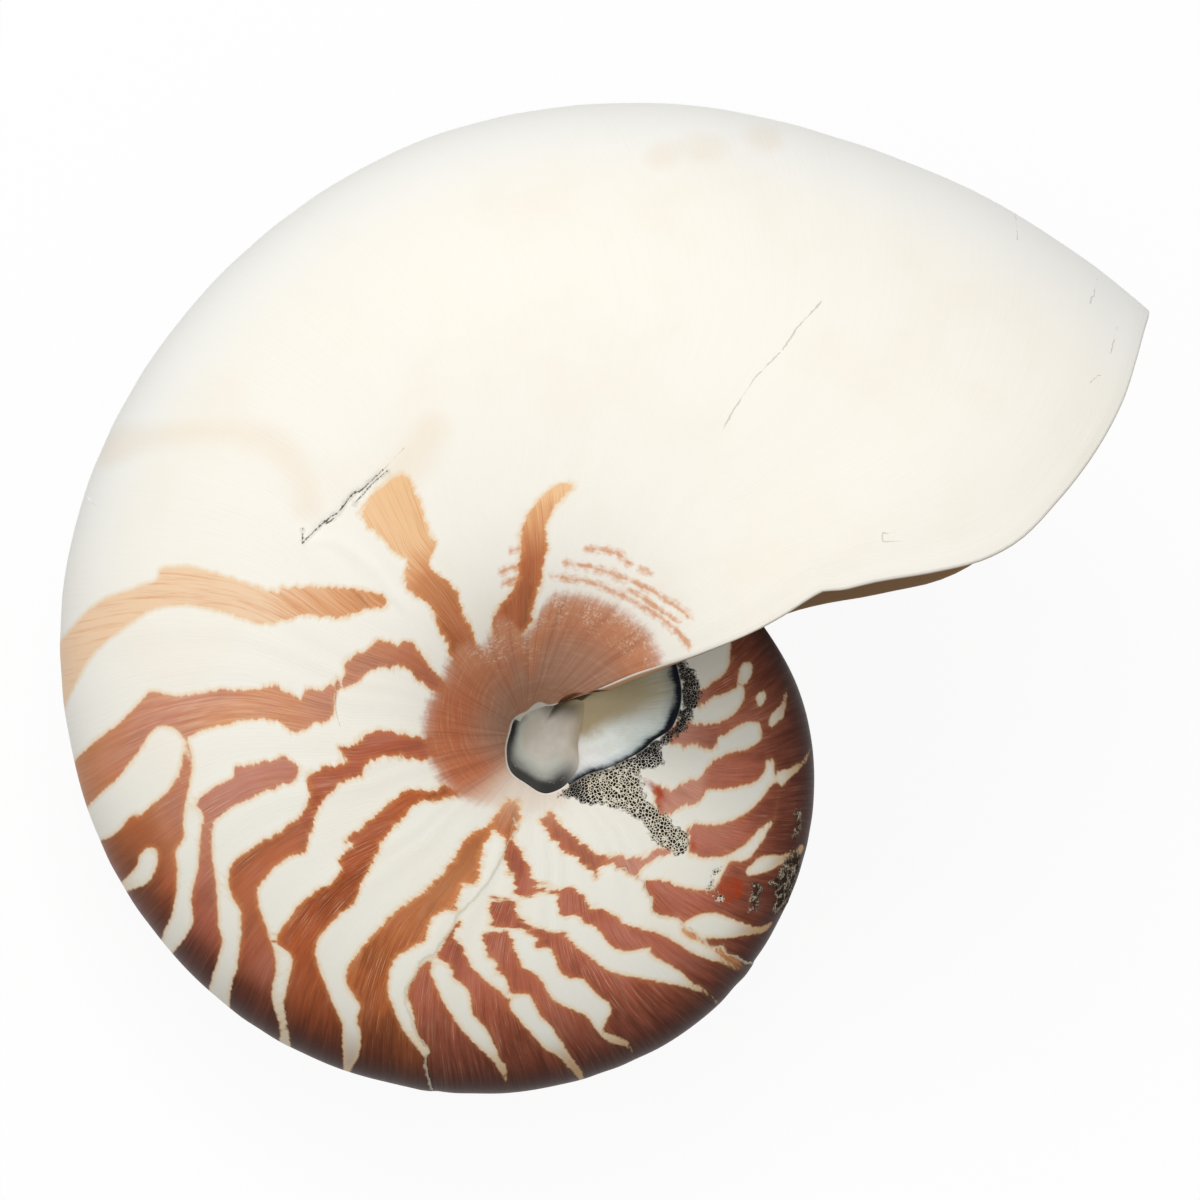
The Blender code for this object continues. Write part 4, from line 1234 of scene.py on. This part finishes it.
def wear(n, f, colours, sizes, surface):
    """Rough growths, chips, scars, the crack and the hairlines."""

    # Red blushes and rough growths
    blush = n.step(-0.4, 0.7, n.layer("blush") + f.mottle.around(2.5))
    surface = n.mix(blush * (0.55 + n.step(0.4, 0.6, f.mottle) * 0.35), surface, colours.blush)
    f.crust = n.step(-0.2, 0.3, n.layer("crust") + f.cloud.around(2.0) + f.speck.around(2.2))
    crust_colour = n.mix(n.step(0.46, 0.62, f.speck), colours.dark_gaps_and_shade, colours.crust_pale)
    crust_colour = n.mix(n.step(0.05, 0.14, f.cells) * 0.8, crust_colour, colours.pore_black_and_shade)
    surface = n.mix(f.crust * 0.9, surface, crust_colour)

    # Chips
    chips = n.step(-0.1, 0.3, n.layer("chips") + f.cloud.around(3.0))
    chip_colour = n.mix(n.step(0.12, 0.2, f.cells), colours.pore_cream, colours.dark_gaps_and_shade)
    surface = n.mix(chips * n.step(0.4, 0.55, f.speck), surface, chip_colour)

    # Scars: a pale rim on the younger shell, and painted shade on the older
    scar = n.layer("scar") + f.speck.around(0.7)
    at_scar = n.below(0.8, 1.2, n.layer("scar_away"))
    scar_rim = n.step(-0.05, 0.06, scar) * n.below(0.12, 0.45, scar + f.mottle.around(1.2)) * at_scar
    surface = n.mix(scar_rim * 0.65, surface, colours.pore_cream)
    scar_shade = n.step(-0.3, -0.12, scar + (f.mottle - 0.6) * 1.5) * n.below(-0.1, 0.02, scar) * at_scar
    surface = n.mix(scar_shade * 0.22, surface, colours.dark_gaps_and_shade)

    # Crack and hairlines
    crack = n.lines(f.place, (CRACK, *CRACK_BRANCHES), sizes)
    broken = n.below(0.1, 0.5, crack + f.speck.around(1.6)) * f.on_near
    surface = n.mix(broken * 0.18, surface, colours.crack)
    crack = n.below(0.02, 0.16, crack + (f.grain - 0.45) * 0.6) * f.on_near
    surface = n.mix(crack * 0.85, surface, colours.dark_gaps_and_shade)
    hairline = n.lines(f.place, HAIRLINES, sizes)
    hairline = n.below(0.02, 0.13, hairline + (f.mottle - 0.45) * 0.6) * f.on_near
    surface = n.mix(hairline * 0.35, surface, colours.crack)
    return surface


def chamber_inside(n, f, colours, surface):
    """Black film where the whorl before enters the body chamber, with painted olive shade beside it near
    the axis, and the lining further in, with painted shade near the lip.
    """
    under = f.growth + f.cloud.around(10.0)
    # Painted olive shade near the axis, the shell's black film further out
    film = n.mix(n.step(0.22, 0.36, f.share), colours.olive_shadow, colours.blue_black)
    surface = n.mix(n.below(-37.0, -34.0, under), surface, film)
    surface = n.mix(n.below(-62.0, -48.0, under), surface, colours.inside)
    inner = n.layer("inner")
    # Painted shade on the inner face near the lip
    lining = n.mix(n.step(308.0, 330.0, f.growth), colours.inside, colours.inside_lip_shade)
    surface = n.mix(n.step(0.05, 0.6, inner), surface, lining)
    return surface


def whorl_material(colours, sizes):
    n = Nodes("porcelain and pigment")
    f = whorl_fields(n)
    surface = ivory_ground(n, f, colours)
    surface = brown_pigment(n, f, colours, surface)
    surface = umbilical_fan(n, f, colours, sizes, surface)
    surface = nacre_and_pores(n, f, colours, surface)
    surface = wear(n, f, colours, sizes, surface)
    surface = chamber_inside(n, f, colours, surface)
    rough = 0.40 + f.crust * 0.4 - f.pearl_cover * 0.2 + f.line.around(0.12) + f.band_cover * 0.25
    normal = n.bump(1.0, MM, f.fine_line * 0.05 + (f.band_cover + f.crust) * f.speck * 0.4)
    finish = {"Base Color": surface, "Roughness": rough, "Normal": normal, "Specular IOR Level": 0.05}
    return n.finish(finish)


def callus_material(colours):
    n = Nodes("callus nacre")
    depth, bearing = n.layer("depth"), n.layer("bearing")
    here = n.add("ShaderNodeTexCoord", output="Object")
    cloud = n.noise(here, 260.0, 3.0, 0.55)
    speck = n.noise(here, 1500.0, 3.0, 0.6)
    surface = n.mix(n.step(0.35, 0.7, cloud), colours.callus, colours.callus_pale)
    shadowed = n.step(30.0, 70.0, bearing) * n.below(190.0, 240.0, bearing)
    ring = n.step(0.58, 0.92, depth + cloud.around(0.25)) * (0.08 + shadowed * 0.92)
    # Painted teal sheen on the plug's lower and left side
    surface = n.mix(n.step(0.3, 0.7, depth) * shadowed * 0.45, surface, colours.nacre_teal_sheen)
    surface = n.mix(ring, surface, colours.blue_black)
    glint = ring * n.step(0.62, 0.7, speck) * n.below(0.8, 0.95, depth)
    surface = n.mix(glint * 0.6, surface, colours.pearl_white)
    # Painted shadow of the lip on the plug's upper part
    surface = n.mix(n.layer("shadow") * 0.95, surface, colours.olive_shadow)
    # Painted shade at the plug's right edge, where it meets the nacre
    crease_shade = n.step(0.7, 1.0, depth) * n.below(20.0, 45.0, bearing)
    surface = n.mix(crease_shade * 0.8, surface, colours.olive_tint_and_shadow)
    normal = n.bump(0.5, 0.05 * MM, cloud + speck * 0.3)
    rough = 0.34 + speck * 0.1
    finish = {"Base Color": surface, "Roughness": rough, "Normal": normal, "Specular IOR Level": 0.35}
    return n.finish(finish)


def septum_material(colours):
    n = Nodes("septum nacre")
    reach = n.layer("reach")
    here = n.add("ShaderNodeTexCoord", output="Object")
    cloud = n.noise(here, 90.0, 3.0, 0.5)
    surface = n.mix(n.step(0.3, 0.7, cloud), colours.pearl_white, colours.nacre_blue_sheen)
    surface = n.mix(n.step(0.85, 1.0, reach) * 0.4, surface, colours.inside)
    # Painted shade stands for the siphuncle's opening in its dip
    surface = n.mix(n.below(0.02, 0.09, reach), surface, colours.pore_black_and_shade)
    return n.finish({"Base Color": surface, "Roughness": 0.18 + cloud * 0.1, "Coat Weight": 0.4})


def floor_material(colours):
    """White to the camera apart from the shadows that fall on it."""
    n = Nodes("studio floor")
    white = n.add("ShaderNodeEmission", inputs={"Color": WHITE, "Strength": 1.0})
    rays = ("Camera", "Glossy", "Transmission")
    seen = [n.add("ShaderNodeLightPath", output=f"Is {ray} Ray") for ray in rays]
    backdrop = n.add("ShaderNodeClamp", inputs={0: seen[0] + seen[1] + seen[2]})
    paper = n.mix(backdrop, colours.floor, WHITE[:3])
    lit = n.add("ShaderNodeBsdfDiffuse", inputs={"Color": paper})
    n.add_output(n.add("ShaderNodeMixShader", inputs={0: backdrop * FLOOR_WHITENESS, 1: lit, 2: white}))
    return n.material


# --------------------------------------------------------------------------------------------------
# Placing


def leaning(sizes):
    """The turn from the shell's own axes to the way it lies."""
    towards = math.radians(sizes.lean_towards)
    return Matrix.Rotation(sizes.lean, 4, Vector((-math.sin(towards), math.cos(towards), 0.0)))


def settle(piece, scene, stands_for_shell=False):
    """Lays a piece down the way the shell lies, sets it in its place and gives it to the frame.

    The whorl comes first. It is centred on the frame's box and stands on its floor, and the others follow.
    """
    places = np.empty(len(piece.data.vertices) * 3)
    piece.data.vertices.foreach_get("co", places)
    places = places.reshape(-1, 3) @ np.array(leaning(scene.shell_sizes).to_3x3()).T
    if stands_for_shell:
        low, high = places.min(0), places.max(0)
        box_low, box_high = (np.array(corner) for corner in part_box("shell"))
        middle = (box_low + box_high) / 2 - (low + high) / 2
        scene["coil_axis"] = [middle[0], middle[1], box_low[2] - low[2]]
    piece.data.vertices.foreach_set("co", (places + np.array(scene["coil_axis"])).ravel())
    piece.data.update()
    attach(piece, "root")
    if stands_for_shell:
        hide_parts("shell")


def require_whorl(scene):
    if "coil_axis" not in scene:
        raise RuntimeError("The whorl has to be built first")


# --------------------------------------------------------------------------------------------------
# Add-on


def number_property(name, description, default, **kind):
    return bpy.props.FloatProperty(name=name, description=description, default=default, **kind)


class ShellSizes(bpy.types.PropertyGroup):
    venter_radius: number_property("Venter radius", "Coil axis to venter at the lip", 0.1063, unit="LENGTH")
    expansion: number_property("Expansion", "Radius gained per turn, as a ratio", 3.01)
    half_width: number_property("Half width", "Half the whorl's width as a share of its radius", 0.385)
    wall: number_property("Wall", "Thickness of the body chamber's wall", 0.0014, unit="LENGTH")
    callus_height: number_property(
        "Callus height", "Umbilical bowl above the median plane", 0.005, unit="LENGTH")
    lean: number_property(
        "Lean", "Angle between the coil axis and vertical", math.radians(16.2), subtype="ANGLE")
    lean_towards: number_property("Leans towards", "In degrees, counter-clockwise from +X", 233.3)


def colour_property(name, description, *rgb):
    return bpy.props.FloatVectorProperty(
        name=name, description=description, subtype="COLOR", size=3, min=0.0, max=1.0, default=colour(*rgb))


class ShellColours(bpy.types.PropertyGroup):
    ivory: colour_property("Ivory", "Clean ground of the youngest shell", 253, 249, 238)
    # Painted light: lighter, cooler ground at the younger venter
    edge_light_ivory: colour_property("Cool ivory", "Ground at the youngest venter", 252, 252, 248)
    old_ivory: colour_property("Old ivory", "Ground of the older shell", 243, 241, 230)
    # Darker, browner ground towards the oldest venter
    browner_venter_ivory: colour_property("Stained ivory", "Ground at the oldest venter", 196, 178, 140)
    warm_ivory: colour_property("Warm ivory", "Clouds in the ground", 248, 238, 218)
    peach: colour_property("Peach", "Faint stain beside the pigment", 236, 203, 160)
    amber: colour_property("Amber", "Fringe of the pigment", 242, 200, 138)
    golden: colour_property("Golden", "Youngest pigment that has faded", 248, 200, 146)
    apricot: colour_property("Apricot", "Pigment that is fading", 228, 158, 104)
    dusty_pink: colour_property("Dusty pink", "Mauve pigment that is fading", 222, 164, 146)
    bleached: colour_property("Bleached", "Pigment that has faded", 248, 212, 176)
    blush: colour_property("Blush", "Red patch beside the rough growths", 178, 66, 30)
    orange: colour_property("Orange", "Edges of the pigment", 212, 134, 74)
    rust: colour_property("Rust", "Pigment of the younger stripes", 192, 102, 58)
    mauve: colour_property("Mauve brown", "Pigment of the older stripes", 194, 114, 92)
    umber: colour_property("Umber", "Growth lines in the pigment", 146, 70, 42)
    # Pigment at the venter, and painted shade there and under the lip
    dark_brown_and_shade: colour_property("Dark brown", "Pigment at the venter", 84, 42, 30)
    # Painted shade where the oldest venter turns away
    venter_edge_shade: colour_property("Darkest brown", "Pigment where the oldest venter turns away", 44, 22, 15)
    fan_rust: colour_property("Rusty fan", "Outer part of the pigment around the umbilicus", 196, 116, 80)
    fan_pale: colour_property("Pale fan", "Pigment above the umbilicus", 212, 148, 112)
    fan_grey: colour_property("Fan grey", "Pigment close to the umbilicus", 186, 146, 124)
    # These three carry a painted sheen of the nacre
    nacre_green_sheen: colour_property("Pearl green", "Nacre", 246, 252, 240)
    nacre_teal_sheen: colour_property("Teal nacre", "Nacre near its dark edge", 204, 228, 226)
    nacre_blue_sheen: colour_property("Pearl blue", "Nacre", 236, 246, 244)
    pearl_white: colour_property("Pearl white", "Nacre", 252, 254, 252)
    # Olive tint of the nacre, and its painted shadow under the lip and beside the plug
    olive_tint_and_shadow: colour_property("Olive", "Nacre in the shelter of the lip", 186, 172, 138)
    # Painted shadow of the lip on the callus, and painted shade beside the black film
    olive_shadow: colour_property("Dark olive", "Callus in the shelter of the lip", 96, 84, 62)
    slate: colour_property("Slate", "Nacre beside its dark edge", 116, 132, 146)
    blue_black: colour_property("Blue black", "Dark edge of the nacre", 26, 32, 40)
    pore_cream: colour_property("Pore cream", "Between the pores", 222, 212, 188)
    # Inside the pores, and painted shade in the siphuncle's opening
    pore_black_and_shade: colour_property("Pore black", "Inside the pores", 36, 32, 28)
    crust_pale: colour_property("Pale crust", "Chalky growth at the venter", 206, 192, 166)
    # Gaps in the crust and the crack, and the painted shade beside the scars
    dark_gaps_and_shade: colour_property("Dark crust", "Gaps in the chalky growth", 62, 48, 38)
    crack: colour_property("Crack", "Broken edge of the wall", 120, 112, 98)
    inside: colour_property("Inside", "Inner face of the body chamber", 250, 246, 238)
    # Painted shade on the inner face near the lip
    inside_lip_shade: colour_property("Inside of the lip", "Stained rim of the body chamber", 168, 134, 100)
    callus: colour_property("Callus", "Umbilical plug", 234, 229, 214)
    callus_pale: colour_property("Pale callus", "Umbilical plug", 250, 247, 238)
    floor: colour_property("Floor", "Studio floor, as it lights the shell", 140, 140, 139)


class ShellStage(bpy.types.PropertyGroup):
    view_distance: number_property(
        "View distance", "Camera to the shell's median plane", 0.79712, unit="LENGTH")
    view_angle: number_property("View angle", "Field of view", math.radians(12.452), subtype="ANGLE")
    aim_right: number_property("Aim right", "Coil axis to the middle of the view", 0.008834, unit="LENGTH")
    aim_up: number_property("Aim up", "Coil axis to the middle of the view", 0.019022, unit="LENGTH")
    key_power: number_property("Key lamp", "Power", 3.4, unit="POWER")
    fill_power: number_property("Fill lamp", "Power", 1.75, unit="POWER")
    world_strength: number_property("World", "Strength", 0.575)


class SHELL_OT_whorl(bpy.types.Operator):
    """Build the whorl: its outside, its lip and the inside of its body chamber"""

    bl_idname = "shell.whorl"
    bl_label = "Whorl"

    def execute(self, context):
        sizes, colours = context.scene.shell_sizes, context.scene.shell_colours
        whorl = build_whorl(sizes, whorl_material(colours, sizes))
        settle(whorl, context.scene, stands_for_shell=True)
        return {"FINISHED"}


class SHELL_OT_callus(bpy.types.Operator):
    """Build the callus plug of each umbilicus"""

    bl_idname = "shell.callus"
    bl_label = "Callus plugs"

    def execute(self, context):
        require_whorl(context.scene)
        sizes, colours = context.scene.shell_sizes, context.scene.shell_colours
        material = callus_material(colours)
        for name, side in (("callus_near", 1.0), ("callus_far", -1.0)):
            settle(build_callus(name, side, sizes, material), context.scene)
        return {"FINISHED"}


class SHELL_OT_septum(bpy.types.Operator):
    """Build the last septum at the back of the body chamber"""

    bl_idname = "shell.septum"
    bl_label = "Septum"

    def execute(self, context):
        require_whorl(context.scene)
        sizes, colours = context.scene.shell_sizes, context.scene.shell_colours
        settle(build_septum(sizes, septum_material(colours)), context.scene)
        return {"FINISHED"}


class SHELL_OT_stage(bpy.types.Operator):
    """Set up the floor, the lamps and the camera"""

    bl_idname = "shell.stage"
    bl_label = "Stage"

    def execute(self, context):
        scene = context.scene
        require_whorl(scene)
        stage = scene.shell_stage
        add_floor(scene.shell_colours)
        coil_axis = Vector(scene["coil_axis"])
        tilt = Matrix.Rotation(VIEW_TILT_X, 4, "X") @ Matrix.Rotation(VIEW_TILT_Y, 4, "Y")
        view = Matrix.Translation(coil_axis) @ leaning(scene.shell_sizes) @ tilt.inverted()
        aim = Vector((stage.aim_right, stage.aim_up, 0.0))
        add_camera(scene, view, aim, stage)
        add_lamp("key", view, aim, KEY_OFFSET, KEY_SIZE, stage.key_power)
        add_lamp("fill", view, aim, FILL_OFFSET, FILL_SIZE, stage.fill_power)
        world = bpy.data.worlds.new("studio")
        world.use_nodes = True
        background = world.node_tree.nodes["Background"]
        background.inputs["Color"].default_value = WHITE
        background.inputs["Strength"].default_value = stage.world_strength
        scene.world = world
        scene.view_settings.view_transform = "Standard"
        return {"FINISHED"}


def add_floor(colours):
    mesh = bpy.data.meshes.new("floor")
    corners = [(x * FLOOR_HALF, y * FLOOR_HALF, 0.0) for x, y in ((-1, -1), (1, -1), (1, 1), (-1, 1))]
    mesh.from_pydata(corners, [], [(0, 1, 2, 3)])
    mesh.materials.append(floor_material(colours))
    floor = bpy.data.objects.new("floor", mesh)
    bpy.context.scene.collection.objects.link(floor)


def add_camera(scene, view, aim, stage):
    data = bpy.data.cameras.new("camera")
    data.angle = stage.view_angle
    data.clip_start = 0.01
    camera = bpy.data.objects.new("camera", data)
    camera.matrix_world = view @ Matrix.Translation(aim + Vector((0.0, 0.0, stage.view_distance)))
    scene.collection.objects.link(camera)
    scene.camera = camera


def add_lamp(name, view, aim, offset, size, power):
    """A square soft lamp, placed from the middle of the view and turned to it."""
    data = bpy.data.lights.new(name, "AREA")
    data.shape = "SQUARE"
    data.size = size
    data.energy = power
    lamp = bpy.data.objects.new(name, data)
    place = view @ (aim + Vector(offset))
    direction = (view @ aim) - place
    lamp.matrix_world = Matrix.Translation(place) @ direction.to_track_quat("-Z", "Y").to_matrix().to_4x4()
    bpy.context.scene.collection.objects.link(lamp)


class SHELL_PT_panel(bpy.types.Panel):
    bl_label = "Nautilus shell"
    bl_idname = "SHELL_PT_panel"
    bl_space_type = "VIEW_3D"
    bl_region_type = "UI"
    bl_category = "Shell"

    def draw(self, context):
        layout = self.layout
        for group in ("shell_sizes", "shell_colours", "shell_stage"):
            box = layout.box()
            settings = getattr(context.scene, group)
            for name in settings.__annotations__:
                box.prop(settings, name)
        for operator in STEPS:
            layout.operator(operator.bl_idname)


STEPS = (SHELL_OT_whorl, SHELL_OT_callus, SHELL_OT_septum, SHELL_OT_stage)
GROUPS = (("shell_sizes", ShellSizes), ("shell_colours", ShellColours), ("shell_stage", ShellStage))


def register():
    for name, group in GROUPS:
        bpy.utils.register_class(group)
        setattr(bpy.types.Scene, name, bpy.props.PointerProperty(type=group))
    for item in (*STEPS, SHELL_PT_panel):
        bpy.utils.register_class(item)


def unregister():
    for item in (SHELL_PT_panel, *reversed(STEPS)):
        bpy.utils.unregister_class(item)
    for name, group in reversed(GROUPS):
        delattr(bpy.types.Scene, name)
        bpy.utils.unregister_class(group)


def main():
    register()
    bpy.ops.shell.whorl()
    bpy.ops.shell.callus()
    bpy.ops.shell.septum()
    bpy.ops.shell.stage()


if __name__ == "__main__":
    main()
